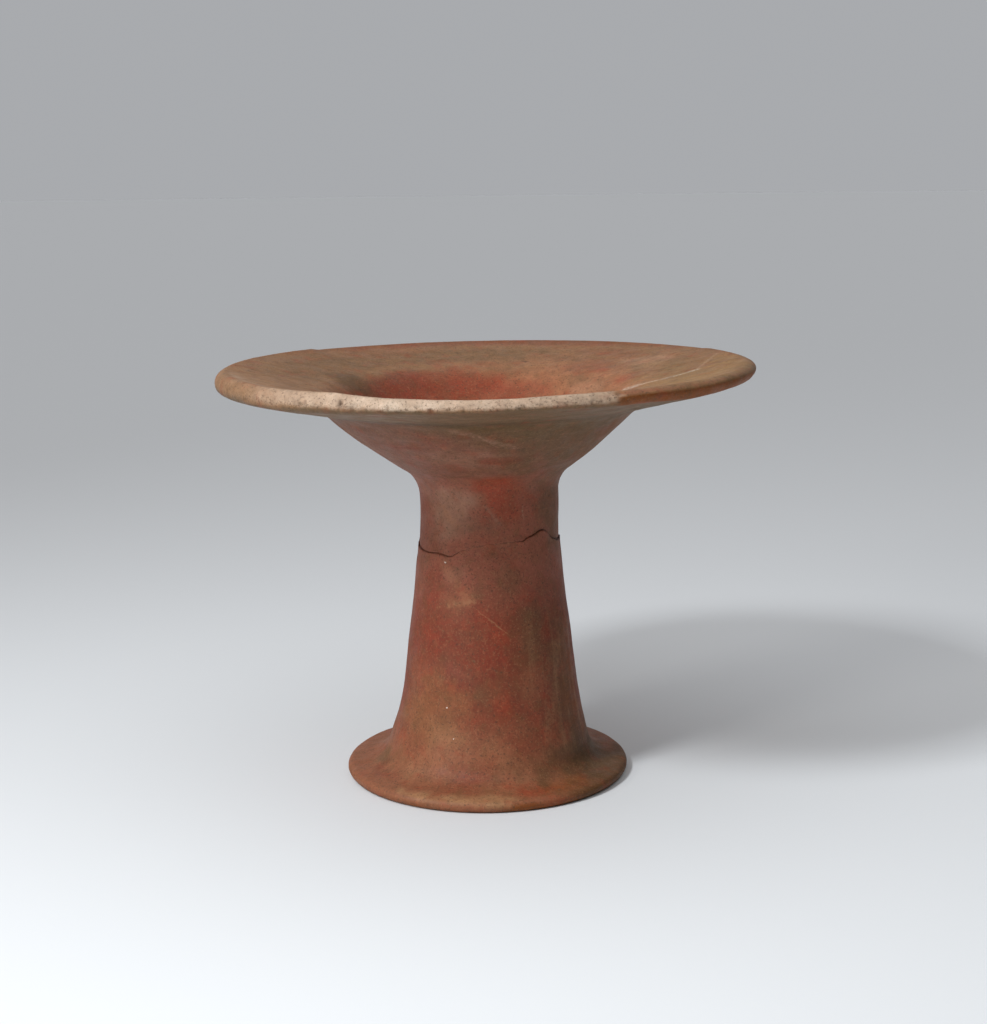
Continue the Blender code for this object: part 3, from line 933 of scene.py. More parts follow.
@dataclass(frozen=True)
class AgedSkin:
    """The colours of the dish's skin: a ground that changes along the section, under stains and wear, with painted
    shade and a painted highlight among the patches.
    """

    ground: tuple = (
        (Run.BOWL_FLOOR, 0.0, Pigment.BOWL_RED), (Run.BOWL_WALL, 0.95, Pigment.BOWL_RED),
        (Run.MOUTH_TURN, 0.9, Pigment.TAN_SLIP), (Run.FLANGE_TOP, 0.80, Pigment.TAN_SLIP),
        (Run.LIP, 0.6, Pigment.TAN_SLIP), (Run.LIP, 0.8, Pigment.OLIVE_CLAY),
        # The ground darkens to dark green at the start of the bend turn: painted shade in the concave crease under the
        # flange.
        (Run.FLANGE_UNDER, 0.7, Pigment.OLIVE_CLAY), (Run.BEND_TURN, 0.1, Pigment.DARK_GREEN),
        (Run.BEND_TURN, 0.6, Pigment.GREY_GREEN),
        (Run.BOWL_UNDER, 0.3, Pigment.PURPLE_RED), (Run.BOWL_UNDER, 0.8, Pigment.PURPLE_RED),
        (Run.NECK_TURN, 0.8, Pigment.FADED_RED), (Run.STEM_BELOW, 0.12, Pigment.FADED_RED),
        (Run.STEM_BELOW, 0.35, Pigment.RED_SLIP), (Run.STEM_BELOW, 0.74, Pigment.RED_SLIP),
        (Run.STEM_BELOW, 0.98, Pigment.ORANGE_CLAY), (Run.FOOT_EDGE, 0.4, Pigment.ORANGE_CLAY),
        (Run.FOOT_EDGE, 0.75, Pigment.RUST_BROWN),
        (Run.RECESS_TURN, 0.5, Pigment.HOLLOW_BUFF), (Run.HOLLOW_TOP, 1.0, Pigment.HOLLOW_BUFF),
    )
    stains_and_painted_light: tuple[ColourPatch, ...] = (
        # The bowl and the flange's upper face
        ColourPatch(Run.BOWL_WALL, 0.90, 118.0, 0.070, 0.055, Pigment.SALMON, 0.85, 0.5),
        ColourPatch(Run.MOUTH_TURN, 0.40, 150.0, 0.030, 0.014, Pigment.SALMON, 0.6, 0.6),
        ColourPatch(Run.MOUTH_TURN, 0.90, 168.0, 0.060, 0.018, Pigment.SALMON, 0.30, 0.7),
        ColourPatch(Run.BOWL_WALL, 0.98, -144.0, 0.034, 0.022, Pigment.DEEP_RED, 0.75, 0.6),
        ColourPatch(Run.BOWL_WALL, 0.80, -170.0, 0.054, 0.032, Pigment.BRIGHT_RED, 0.62, 0.8),
        ColourPatch(Run.BOWL_WALL, 0.95, 150.0, 0.012, 0.010, Pigment.BRIGHT_RED, 0.18, 0.9),
        ColourPatch(Run.BOWL_WALL, 0.95, 126.0, 0.014, 0.010, Pigment.PINK_CLAY, 0.25, 0.9),
        ColourPatch(Run.MOUTH_TURN, 0.55, 112.0, 0.012, 0.008, Pigment.BRIGHT_RED, 0.40, 0.9),
        ColourPatch(Run.MOUTH_TURN, 0.30, 136.0, 0.013, 0.008, Pigment.GREY_GREEN, 0.30, 0.9),
        # Painted shade: this dark brown patch on the left inner mouth stands for the shadow on the inner wall that is
        # turned away from the key light.
        ColourPatch(Run.MOUTH_TURN, 0.50, -118.0, 0.018, 0.014, Pigment.DARK_BROWN, 0.74, 0.6),
        ColourPatch(Run.FLANGE_TOP, 0.95, 176.0, 0.150, 0.009, Pigment.ORANGE_CLAY, 0.45, 0.5),
        ColourPatch(Run.LIP, 0.30, 176.0, 0.200, 0.010, Pigment.RUST_BROWN, 0.60, 0.5),
        ColourPatch(Run.MOUTH_TURN, 0.95, 131.0, 0.006, 0.005, Pigment.BRIGHT_RED, 0.55, 0.6),
        ColourPatch(Run.MOUTH_TURN, 0.85, 145.0, 0.010, 0.006, Pigment.ORANGE_CLAY, 0.60, 0.6),
        ColourPatch(Run.FLANGE_TOP, 0.30, 178.0, 0.090, 0.008, Pigment.GREY_GREEN, 0.40, 0.7),
        ColourPatch(Run.FLANGE_TOP, 0.55, -170.0, 0.110, 0.006, Pigment.GREY_GREEN, 0.35, 0.7),
        ColourPatch(Run.FLANGE_TOP, 0.92, 176.0, 0.120, 0.005, Pigment.RED_SLIP, 0.35, 0.6),
        ColourPatch(Run.FLANGE_TOP, 0.12, 139.0, 0.016, 0.012, Pigment.ORANGE_CLAY, 0.7, 0.6),
        ColourPatch(Run.FLANGE_TOP, 0.40, 122.0, 0.020, 0.014, Pigment.PINK_CLAY, 0.35, 0.6),
        ColourPatch(Run.FLANGE_TOP, 0.50, 70.0, 0.095, 0.040, Pigment.OCHRE_BROWN, 0.66, 0.4),
        ColourPatch(Run.FLANGE_TOP, 0.35, 102.0, 0.045, 0.022, Pigment.GREY_GREEN, 0.34, 0.8),
        ColourPatch(Run.FLANGE_TOP, 0.93, 31.0, 0.013, 0.007, Pigment.PINK_CLAY, 0.60, 0.5),
        ColourPatch(Run.FLANGE_TOP, 0.30, 154.0, 0.028, 0.012, Pigment.SALMON, 0.35, 0.7),
        ColourPatch(Run.FLANGE_TOP, 0.60, 96.0, 0.016, 0.010, Pigment.ORANGE_CLAY, 0.30, 0.8),
        ColourPatch(Run.FLANGE_TOP, 0.70, -70.0, 0.080, 0.016, Pigment.CREAM_CLAY, 0.35, 0.7),
        ColourPatch(Run.FLANGE_TOP, 0.40, -120.0, 0.060, 0.030, Pigment.GREY_GREEN, 0.30, 0.7),
        ColourPatch(Run.FLANGE_TOP, 0.60, 140.0, 0.030, 0.010, Pigment.ORANGE_CLAY, 0.50, 0.7),
        ColourPatch(Run.FLANGE_TOP, 0.75, -150.0, 0.040, 0.012, Pigment.ORANGE_CLAY, 0.35, 0.7),
        ColourPatch(Run.FLANGE_TOP, 0.16, 165.5, 0.0020, 0.0014, Pigment.DARK_DIRT, 0.9, 0.2),
        # The lip on the right
        # Painted highlight: this thin orange line along the crisp top edge of the mended fragment's lip stands for
        # light caught on that edge.
        ColourPatch(Run.LIP, 0.33, 62.0, 0.110, 0.0012, Pigment.ORANGE_CLAY, 0.55, 0.5),
        ColourPatch(Run.LIP, 0.30, 30.0, 0.014, 0.0030, Pigment.ORANGE_CLAY, 0.70, 0.5),
        ColourPatch(Run.FLANGE_UNDER, 0.45, 66.0, 0.115, 0.040, Pigment.GREY_GREEN, 0.85, 0.3),
        ColourPatch(Run.FLANGE_UNDER, 0.20, 10.0, 0.050, 0.012, Pigment.GREY_GREEN, 0.40, 0.6),
        # The underside of the dish
        ColourPatch(Run.BOWL_UNDER, 0.10, -42.0, 0.060, 0.024, Pigment.PURPLE_RED, 0.70, 0.5),
        ColourPatch(Run.BOWL_UNDER, 0.25, 44.0, 0.050, 0.032, Pigment.GREY_GREEN, 0.66, 0.6),
        ColourPatch(Run.BOWL_UNDER, 0.50, -8.0, 0.026, 0.012, Pigment.PALE_FILM, 0.30, 0.8),
        ColourPatch(Run.BEND_TURN, 0.50, 18.0, 0.060, 0.020, Pigment.GREY_GREEN, 0.50, 0.6),
        ColourPatch(Run.BOWL_UNDER, 0.40, 78.0, 0.050, 0.036, Pigment.GREY_GREEN, 0.55, 0.5),
        ColourPatch(Run.BOWL_UNDER, 0.35, 66.0, 0.022, 0.028, Pigment.RUST_BROWN, 0.42, 0.6),
        ColourPatch(Run.BOWL_UNDER, 0.35, -68.0, 0.018, 0.028, Pigment.RUST_BROWN, 0.34, 0.6),
        ColourPatch(Run.BOWL_UNDER, 0.70, -22.0, 0.018, 0.006, Pigment.RED_SLIP, 0.55, 0.6),
        ColourPatch(Run.BOWL_UNDER, 0.30, -32.0, 0.016, 0.003, Pigment.DEEP_RED, 0.55, 0.6),
        ColourPatch(Run.BOWL_UNDER, 0.55, 8.0, 0.012, 0.004, Pigment.RED_SLIP, 0.60, 0.6),
        ColourPatch(Run.BOWL_UNDER, 0.33, 16.0, 0.0032, 0.0014, Pigment.DARK_GREEN, 0.75, 0.3),
        ColourPatch(Run.BEND_TURN, 0.68, -6.3, 0.0028, 0.0011, Pigment.DARK_GREEN, 0.75, 0.3),
        ColourPatch(Run.BOWL_UNDER, 0.18, 1.8, 0.0030, 0.0008, Pigment.DARK_GREEN, 0.55, 0.3),
        # The neck and the stem
        ColourPatch(Run.NECK_TURN, 0.40, 6.0, 0.017, 0.011, Pigment.BRIGHT_RED, 0.90, 0.4),
        ColourPatch(Run.STEM_ABOVE, 0.30, 14.0, 0.009, 0.008, Pigment.BRIGHT_RED, 0.55, 0.5),
        ColourPatch(Run.STEM_ABOVE, 0.30, -36.0, 0.018, 0.016, Pigment.PALE_FILM, 0.72, 0.8),
        ColourPatch(Run.STEM_ABOVE, 0.55, -8.0, 0.014, 0.006, Pigment.PURPLE_RED, 0.60, 0.6),
        ColourPatch(Run.STEM_ABOVE, 0.30, 62.0, 0.016, 0.030, Pigment.GREY_GREEN, 0.55, 0.5),
        ColourPatch(Run.STEM_BELOW, 0.10, -30.0, 0.009, 0.006, Pigment.PALE_FILM, 0.25, 0.6),
        ColourPatch(Run.STEM_BELOW, 0.20, -17.0, 0.005, 0.004, Pigment.SALMON, 0.24, 0.7),
        ColourPatch(Run.STEM_BELOW, 0.245, -24.0, 0.010, 0.004, Pigment.SALMON, 0.30, 0.7),
        ColourPatch(Run.STEM_BELOW, 0.30, -8.0, 0.009, 0.007, Pigment.DEEP_RED, 0.45, 0.6),
        ColourPatch(Run.STEM_BELOW, 0.52, 20.0, 0.012, 0.010, Pigment.DARK_BROWN, 0.30, 0.7),
        ColourPatch(Run.STEM_BELOW, 0.56, -28.0, 0.016, 0.010, Pigment.PURPLE_RED, 0.45, 0.7),
        ColourPatch(Run.STEM_BELOW, 0.58, -55.0, 0.014, 0.020, Pigment.SALMON, 0.25, 0.7),
        ColourPatch(Run.STEM_BELOW, 0.22, -50.0, 0.010, 0.020, Pigment.DEEP_RED, 0.55, 0.5),
        ColourPatch(Run.STEM_BELOW, 0.12, 14.0, 0.009, 0.007, Pigment.GREY_GREEN, 0.30, 0.6),
        ColourPatch(Run.STEM_BELOW, 0.20, -10.0, 0.005, 0.004, Pigment.GREY_GREEN, 0.40, 0.6),
        ColourPatch(Run.STEM_BELOW, 0.40, 6.0, 0.006, 0.005, Pigment.BRIGHT_RED, 0.75, 0.5),
        ColourPatch(Run.STEM_BELOW, 0.43, 0.0, 0.011, 0.010, Pigment.DEEP_RED, 0.50, 0.7),
        ColourPatch(Run.STEM_BELOW, 0.44, -48.0, 0.024, 0.020, Pigment.DEEP_RED, 0.75, 0.7),
        ColourPatch(Run.STEM_BELOW, 0.62, 64.0, 0.010, 0.040, Pigment.RUST_BROWN, 0.45, 0.6),
        ColourPatch(Run.STEM_BELOW, 0.62, 30.0, 0.010, 0.014, Pigment.SALMON, 0.24, 0.8),
        ColourPatch(Run.STEM_BELOW, 0.38, 31.0, 0.008, 0.016, Pigment.GREY_GREEN, 0.45, 0.6),
        ColourPatch(Run.STEM_BELOW, 0.66, -2.0, 0.009, 0.007, Pigment.GREY_GREEN, 0.45, 0.6),
        ColourPatch(Run.STEM_BELOW, 0.72, 7.0, 0.008, 0.010, Pigment.BRIGHT_RED, 0.45, 0.6),
        ColourPatch(Run.STEM_BELOW, 0.60, 55.0, 0.012, 0.040, Pigment.GREY_GREEN, 0.45, 0.5),
        ColourPatch(Run.STEM_BELOW, 0.77, -44.0, 0.026, 0.020, Pigment.OCHRE_BROWN, 0.22, 1.0),
        ColourPatch(Run.STEM_BELOW, 0.94, -24.0, 0.034, 0.012, Pigment.SALMON, 0.20, 1.0),
        ColourPatch(Run.ROOT_TURN, 0.20, -12.0, 0.016, 0.008, Pigment.DEEP_RED, 0.35, 0.9),
        ColourPatch(Run.STEM_BELOW, 0.93, -50.0, 0.010, 0.008, Pigment.RED_SLIP, 0.40, 0.9),
        ColourPatch(Run.STEM_BELOW, 0.86, -34.0, 0.012, 0.007, Pigment.CREAM_CLAY, 0.14, 1.0),
        ColourPatch(Run.STEM_BELOW, 0.90, 26.0, 0.014, 0.010, Pigment.RED_SLIP, 0.45, 0.8),
        ColourPatch(Run.STEM_BELOW, 0.85, 9.0, 0.0010, 0.0010, Pigment.DARK_DIRT, 0.9, 0.2),
        # The foot
        # Painted shade: this dark green patch at the root on the right stands for shade in the concave root on the side
        # turned away from the lamps.
        ColourPatch(Run.ROOT_TURN, 0.50, 68.0, 0.030, 0.026, Pigment.DARK_GREEN, 0.62, 0.5),
        ColourPatch(Run.FOOT_TOP, 0.10, 58.0, 0.016, 0.007, Pigment.RED_SLIP, 0.55, 0.6),
        ColourPatch(Run.ROOT_TURN, 0.80, -60.0, 0.016, 0.009, Pigment.RED_SLIP, 0.55, 0.6),
        ColourPatch(Run.ROOT_TURN, 0.45, -74.0, 0.010, 0.006, Pigment.GREY_GREEN, 0.60, 0.5),
        ColourPatch(Run.FOOT_TOP, 0.40, 22.0, 0.014, 0.005, Pigment.BRIGHT_RED, 0.60, 0.6),
        ColourPatch(Run.FOOT_TOP, 0.95, -11.0, 0.037, 0.006, Pigment.CREAM_CLAY, 0.62, 0.9),
        ColourPatch(Run.ROOT_TURN, 0.60, -40.0, 0.026, 0.008, Pigment.CREAM_CLAY, 0.22, 1.0),
        # Painted shade: these rust brown and dark brown patches on the foot's right stand for the foot's shadowed side.
        ColourPatch(Run.FOOT_TOP, 0.80, 66.0, 0.055, 0.018, Pigment.RUST_BROWN, 0.74, 0.5),
        ColourPatch(Run.FOOT_TOP, 0.55, 71.0, 0.052, 0.026, Pigment.DARK_BROWN, 0.88, 0.5),
        ColourPatch(Run.ROOT_TURN, 0.70, -20.0, 0.030, 0.010, Pigment.RED_SLIP, 0.40, 0.8),
        # The hidden sides
        ColourPatch(Run.BOWL_UNDER, 0.40, 170.0, 0.060, 0.040, Pigment.GREY_GREEN, 0.55, 0.6),
        ColourPatch(Run.STEM_BELOW, 0.45, 150.0, 0.035, 0.050, Pigment.DEEP_RED, 0.45, 0.6),
        ColourPatch(Run.STEM_BELOW, 0.80, -140.0, 0.030, 0.030, Pigment.GREY_GREEN, 0.40, 0.6),
        ColourPatch(Run.HOLLOW_SIDE, 0.70, 20.0, 0.050, 0.060, Pigment.DARK_GREEN, 0.45, 0.6),
    )

    rubbed_round: tuple = (
        (-150, 0.00), (-112, 0.02), (-85, 0.08), (-66, 0.09), (-54, 0.21), (-44, 0.46), (-36, 0.66), (-29, 0.95),
        (-9, 0.96), (0, 0.84), (20.0, 0.80), (25.0, 0.64), (26.5, 0.00),
    )
    break_dirt: tuple = (
        (-90, 0.35), (-32, 0.34), (-20, 0.46), (0, 0.58), (18, 0.54), (30, 0.55), (75, 0.50), (110, 0.30),
        (180, 0.26), (230, 0.25),
    )

    def rubbed(self, surface: ClaySurface, worn: HandWork) -> np.ndarray:
        """How far the slip is rubbed through to pale clay at the lip."""
        share = surface.share
        at, strength = np.array(self.rubbed_round).T
        ragged = 2.2 * layered_noise(surface.place, (0.0040, 0.0040, 0.0030), 93, 2)
        front = np.interp(surface.azimuth + ragged, at, strength, period=360.0)
        face = smooth(0.0, 0.16, share + 0.03 * ragged) * (1 - smooth(0.58, 0.76, share + 0.03 * ragged))
        inner = surface.on(Run.FLANGE_TOP) * smooth(0.78, 1.0, share + 0.04 * ragged)
        left = span_weight(surface.azimuth, (-66.0, -24.0), (24.0, 14.0))
        patchy = 0.86 + 0.14 * layered_noise(surface.place, (0.012, 0.012, 0.006), 91, 3)
        return np.clip((surface.on(Run.LIP) * face * front + 0.45 * inner * left) * patchy, 0, 1)

    def spread_over(self, surface: ClaySurface, mesh: bpy.types.Mesh, worn: HandWork) -> None:
        """Works out the skin's colours and stores them on the mesh.

        Args:
            surface: The worked surface.
            mesh: The mesh that was made from it.
            worn: The relief, whose pits, chips and break hold dirt.
        """
        stops = [surface.path_at(run, share) for run, share, _ in self.ground]
        paints = np.array([pigment.value for _, _, pigment in self.ground])
        drift = 0.004 * layered_noise(surface.place, (0.020, 0.020, 0.012), 51, 3)
        colour = np.column_stack([np.interp(surface.path + drift, stops, paints[:, band]) for band in range(3)])
        grains = [(0.016, 0.016, 0.010), (0.010, 0.010, 0.008), (0.007, 0.007, 0.007)]
        tears = [layered_noise(surface.place, grain, 100 + 7 * index, 3) for index, grain in enumerate(grains)]
        for index, colour_patch in enumerate(self.stains_and_painted_light):
            across, along = surface.from_spot(colour_patch.run, colour_patch.share, colour_patch.azimuth)
            far = np.hypot(across / colour_patch.across, along / colour_patch.along) + colour_patch.torn * tears[index % 3]
            weight = colour_patch.strength * (1 - smooth(0.45, 1.25, far))
            colour += weight[:, None] * (np.array(colour_patch.pigment.value) - colour)
        rubbed = self.rubbed(surface, worn)
        tone = 0.5 + 0.5 * lattice_noise(surface.place, (0.009, 0.009, 0.009), 97)[:, None]
        clay = np.array(Pigment.RUBBED_CLAY.value) * (1 - 0.5 * tone) + np.array(Pigment.PINK_CLAY.value) * 0.5 * tone
        colour += rubbed[:, None] * (clay - colour)
        # Partly the mended fragment's own darker clay, partly painted shade: the fragment lip's outer face, turned down
        # and away from the key light, is painted dark rust brown.
        fragment = span_weight(surface.azimuth, (26.5, 116.0), (1.5, 2.0)) * surface.on(Run.LIP)
        face = fragment * smooth(0.42, 0.52, surface.share)
        colour += 0.95 * face[:, None] * (np.array(Pigment.RUST_BROWN.value) - colour)
        depth, fill = worn.bruises(surface)
        dirt = np.maximum(0.45 * worn.pits(surface), fill * (0.28 + 420.0 * depth))
        at, strength = np.array(self.break_dirt).T
        dirt = np.maximum(dirt, np.interp(surface.azimuth, at, strength, period=360.0) * worn.gape(surface))
        colour += dirt[:, None] * (np.array(Pigment.DARK_DIRT.value) - colour)
        surface.spread(mesh, "skin_colour", np.column_stack((colour, np.ones(len(colour)))))
        surface.spread(mesh, "rubbed", rubbed)
        turn = np.radians(surface.azimuth)
        along_turn = np.column_stack((np.sin(turn) * 0.008, -np.cos(turn) * 0.008, surface.path))
        surface.spread(mesh, "turned_place", along_turn)
        down = np.column_stack((np.sin(turn) * 0.055, -np.cos(turn) * 0.055, surface.path * 0.10))
        surface.spread(mesh, "drawn_place", down)
        pitted = surface.on(Run.LIP) * smooth(0.36, 0.56, surface.share) * (1 - smooth(0.74, 0.86, surface.share))
        surface.spread(mesh, "pitted", pitted * span_weight(surface.azimuth, (-50.0, 21.0), (45.0, 4.0)))
        outside = surface.on(
            Run.BEND_TURN, Run.BOWL_UNDER, Run.NECK_TURN, Run.STEM_ABOVE, Run.BREAK, Run.STEM_BELOW, Run.ROOT_TURN,
        )
        surface.spread(mesh, "front_side", outside * span_weight(surface.azimuth, (-85.0, 85.0), (5.0, 5.0)))
        surface.spread(mesh, "upper_side", surface.on(Run.FLANGE_TOP, Run.MOUTH_TURN) * 1.0)
        below = surface.on(Run.FLANGE_UNDER, Run.BEND_TURN, Run.BOWL_UNDER) * 1.0
        surface.spread(mesh, "wiped", below + 0.12 * surface.on(Run.FLANGE_TOP, Run.MOUTH_TURN, Run.BOWL_WALL))
        streaked = surface.on(Run.STEM_BELOW) * smooth(0.15, 0.50, surface.share) * smooth(12.0, 45.0, surface.azimuth)
        surface.spread(mesh, "streaked", streaked * (1 - smooth(80.0, 110.0, surface.azimuth)))


@dataclass(frozen=True)
class Scratch:
    """A thin mark across the seen side: its points as X and Z in metres, half its width, pigment and strength."""

    points: tuple[tuple[float, float], ...]
    half_width: float
    pigment: Pigment
    strength: float
    in_plan: bool = False


class ClayNodes:
    """Short ways to add nodes to the clay's material."""

    def __init__(self, tree: bpy.types.NodeTree) -> None:
        """Keeps the tree, and reads the place on the object once."""
        self.tree = tree
        self.place = tree.nodes.new("ShaderNodeTexCoord").outputs["Object"]

    def wire(self, socket: bpy.types.NodeSocket, value) -> None:
        """Links an output to a socket, or sets the socket's value."""
        if isinstance(value, bpy.types.NodeSocket):
            self.tree.links.new(value, socket)
        elif isinstance(value, tuple) and socket.type == "RGBA":
            socket.default_value = (*value, 1.0)
        else:
            socket.default_value = value

    def maths(self, kind: str, *values, clamp: bool = False) -> bpy.types.NodeSocket:
        """A number worked out from others."""
        node = self.tree.nodes.new("ShaderNodeMath")
        node.operation, node.use_clamp = kind, clamp
        for socket, value in zip(node.inputs, values):
            self.wire(socket, value)
        return node.outputs[0]

    def vector(self, kind: str, *values, scale=None) -> bpy.types.ShaderNodeVectorMath:
        """A vector worked out from others."""
        node = self.tree.nodes.new("ShaderNodeVectorMath")
        node.operation = kind
        for socket, value in zip(node.inputs, values):
            self.wire(socket, value)
        if scale is not None:
            self.wire(node.inputs["Scale"], scale)
        return node

    def noise(self, place: bpy.types.NodeSocket, per_metre: float, detail: float = 3.0, roughness: float = 0.55):
        """Noise between 0 and 1."""
        node = self.tree.nodes.new("ShaderNodeTexNoise")
        self.wire(node.inputs["Vector"], place)
        node.inputs["Scale"].default_value = per_metre
        node.inputs["Detail"].default_value = detail
        node.inputs["Roughness"].default_value = roughness
        return node.outputs["Fac"]

    def step(self, value, low: float, high: float, bottom: float = 0.0, top: float = 1.0) -> bpy.types.NodeSocket:
        """A value that eases from the bottom to the top between two levels."""
        node = self.tree.nodes.new("ShaderNodeMapRange")
        node.interpolation_type = "SMOOTHSTEP"
        for name, number in zip(("Value", "From Min", "From Max", "To Min", "To Max"), (value, low, high, bottom, top)):
            self.wire(node.inputs[name], number)
        return node.outputs["Result"]

    def blend(self, share, low, high, kind: str = "MIX") -> bpy.types.NodeSocket:
        """One colour laid over another."""
        node = self.tree.nodes.new("ShaderNodeMix")
        node.data_type, node.blend_type = "RGBA", kind
        for socket, value in zip((node.inputs["Factor"], node.inputs[6], node.inputs[7]), (share, low, high)):
            self.wire(socket, value)
        return node.outputs[2]

    def stored(self, name: str, kind: str) -> bpy.types.NodeSocket:
        """What the mesh stores under a name: its Color, Vector or Fac."""
        node = self.tree.nodes.new("ShaderNodeAttribute")
        node.attribute_name = name
        return node.outputs[kind]

    def along_segment(self, place, start: tuple, end: tuple) -> bpy.types.NodeSocket:
        """The distance from a place to a straight segment."""
        run = Vector(end) - Vector(start)
        away = self.vector("SUBTRACT", place, start).outputs[0]
        share = self.maths("DIVIDE", self.vector("DOT_PRODUCT", away, tuple(run)).outputs["Value"], run.length_squared)
        share = self.maths("MINIMUM", self.maths("MAXIMUM", share, 0.0), 1.0)
        nearest = self.vector("SCALE", tuple(run), scale=share).outputs[0]
        return self.vector("DISTANCE", away, nearest).outputs["Value"]


@dataclass(frozen=True)
class SlippedClay:
    """Fired clay under a burnished red slip: mottled, speckled, wiped round, streaked, scratched and rubbed."""

    scratches: tuple[Scratch, ...] = (
        Scratch(((-0.0184, 0.2131), (-0.0080, 0.2112), (0.0026, 0.2066), (0.0147, 0.2023)), 0.0016, Pigment.PALE_FILM, 0.42),
        Scratch(((-0.0030, 0.2098), (0.0060, 0.2030)), 0.0006, Pigment.PALE_FILM, 0.35),
        Scratch(((-0.0298, 0.1811), (-0.0190, 0.1816), (-0.0086, 0.1829)), 0.0007, Pigment.DARK_BROWN, 0.40),
        Scratch(((-0.0080, 0.1071), (0.0009, 0.1005), (0.0110, 0.0918)), 0.0004, Pigment.CREAM_CLAY, 0.38),
        Scratch(((-0.0260, 0.1757), (-0.0222, 0.1711), (-0.0189, 0.1667)), 0.0011, Pigment.PALE_FILM, 0.35),
        Scratch(((-0.0241, 0.1614), (-0.0208, 0.1567), (-0.0174, 0.1531)), 0.0022, Pigment.SALMON, 0.42),
        Scratch(((0.0000, 0.1635), (0.0038, 0.1589), (0.0077, 0.1537)), 0.0012, Pigment.PALE_FILM, 0.30),
        Scratch(((0.0201, 0.1630), (0.0212, 0.1554)), 0.0004, Pigment.PINK_CLAY, 0.40),
        Scratch(((-0.0235, 0.1293), (-0.0179, 0.1199), (-0.0096, 0.1104)), 0.0030, Pigment.SALMON, 0.34),
        Scratch(((-0.0225, 0.1067), (-0.0080, 0.1105)), 0.0018, Pigment.CREAM_CLAY, 0.26),
        Scratch(((0.0395, 0.0826), (0.0363, 0.0400)), 0.0022, Pigment.CREAM_CLAY, 0.24),
        Scratch(((0.0340, 0.0742), (0.0330, 0.0300)), 0.0018, Pigment.CREAM_CLAY, 0.18),
        Scratch(
            ((0.1373, 0.0381), (0.1291, 0.0202), (0.1208, -0.0004)), 0.0013, Pigment.PINK_CLAY, 0.40, True,
        ),
        Scratch(
            ((0.1208, -0.0004), (0.1112, -0.0054), (0.0997, -0.0063), (0.0888, -0.0019), (0.0800, 0.0100)),
            0.0026, Pigment.RUBBED_CLAY, 0.55, True,
        ),
    )
    grit: tuple[tuple[float, float], ...] = (
        (-0.0237, 0.1309), (-0.0240, 0.0495), (-0.0196, 0.0328),
    )

    def scored(self, nodes: ClayNodes, colour: bpy.types.NodeSocket) -> bpy.types.NodeSocket:
        """Lays the scratches over a colour, their edges shaken by noise.

        Args:
            nodes: The material's nodes.
            colour: What they are laid over.

        Returns:
            The colour with the scratches in it.
        """
        split = nodes.tree.nodes.new("ShaderNodeSeparateXYZ")
        nodes.wire(split.inputs[0], nodes.place)
        shake = nodes.maths("MULTIPLY", nodes.maths("SUBTRACT", nodes.noise(nodes.place, 260.0, 5.0, 0.65), 0.5), 0.0050)
        flat = {}
        for in_plan, other in ((False, "Z"), (True, "Y")):
            joined = nodes.tree.nodes.new("ShaderNodeCombineXYZ")
            nodes.wire(joined.inputs[0], nodes.maths("ADD", split.outputs["X"], shake))
            nodes.wire(joined.inputs[1], split.outputs[other])
            flat[in_plan] = joined.outputs[0]
        front, top = nodes.stored("front_side", "Fac"), nodes.stored("upper_side", "Fac")
        worn = nodes.step(nodes.noise(nodes.place, 520.0, 4.0, 0.65), 0.38, 0.60)
        for scratch in self.scratches:
            places = [(*point, 0.0) for point in scratch.points]
            near = None
            for start, end in zip(places[:-1], places[1:]):
                away = nodes.along_segment(flat[scratch.in_plan], start, end)
                near = away if near is None else nodes.maths("MINIMUM", near, away)
            mark = nodes.step(near, scratch.half_width * 0.2, scratch.half_width * 1.4, scratch.strength, 0.0)
            mark = nodes.maths("MULTIPLY", mark, top if scratch.in_plan else front)
            mark = nodes.maths("MULTIPLY", mark, nodes.maths("ADD", 0.20, nodes.maths("MULTIPLY", worn, 0.80)))
            colour = nodes.blend(mark, colour, scratch.pigment.value)
        near = None
        for across, height in self.grit:
            away = nodes.vector("DISTANCE", flat[False], (across, height, 0.0)).outputs["Value"]
            near = away if near is None else nodes.maths("MINIMUM", near, away)
        mark = nodes.maths("MULTIPLY", nodes.step(near, 0.00022, 0.00055, 0.8, 0.0), front)
        return nodes.blend(mark, colour, (0.85, 0.78, 0.70))

    def material(self) -> bpy.types.Material:
        """The material, from the stored skin colours down to speckle that is finer than the mesh."""
        material = bpy.data.materials.new("slipped_clay")
        material.use_nodes = True
        shader = material.node_tree.nodes["Principled BSDF"]
        nodes = ClayNodes(material.node_tree)
        place = nodes.place
        rubbed = nodes.stored("rubbed", "Fac")
        colour = nodes.stored("skin_colour", "Color")

        pitted = nodes.maths("MULTIPLY", nodes.step(nodes.noise(place, 980.0, 3.0, 0.6), 0.54, 0.62), nodes.stored("pitted", "Fac"))
        colour = nodes.blend(nodes.maths("MULTIPLY", pitted, 0.45), colour, Pigment.DARK_BROWN.value)
        cloud = nodes.step(nodes.noise(place, 95.0, 4.0, 0.6), 0.30, 0.70)
        colour = nodes.blend(nodes.maths("MULTIPLY", cloud, 0.26), colour, Pigment.GREY_GREEN.value)
        bloom = nodes.step(nodes.noise(place, 85.0, 5.0, 0.6), 0.52, 0.72)
        bloom = nodes.maths("MULTIPLY", bloom, nodes.maths("SUBTRACT", 1.0, rubbed))
        colour = nodes.blend(nodes.maths("MULTIPLY", bloom, 0.36), colour, Pigment.BRIGHT_RED.value)

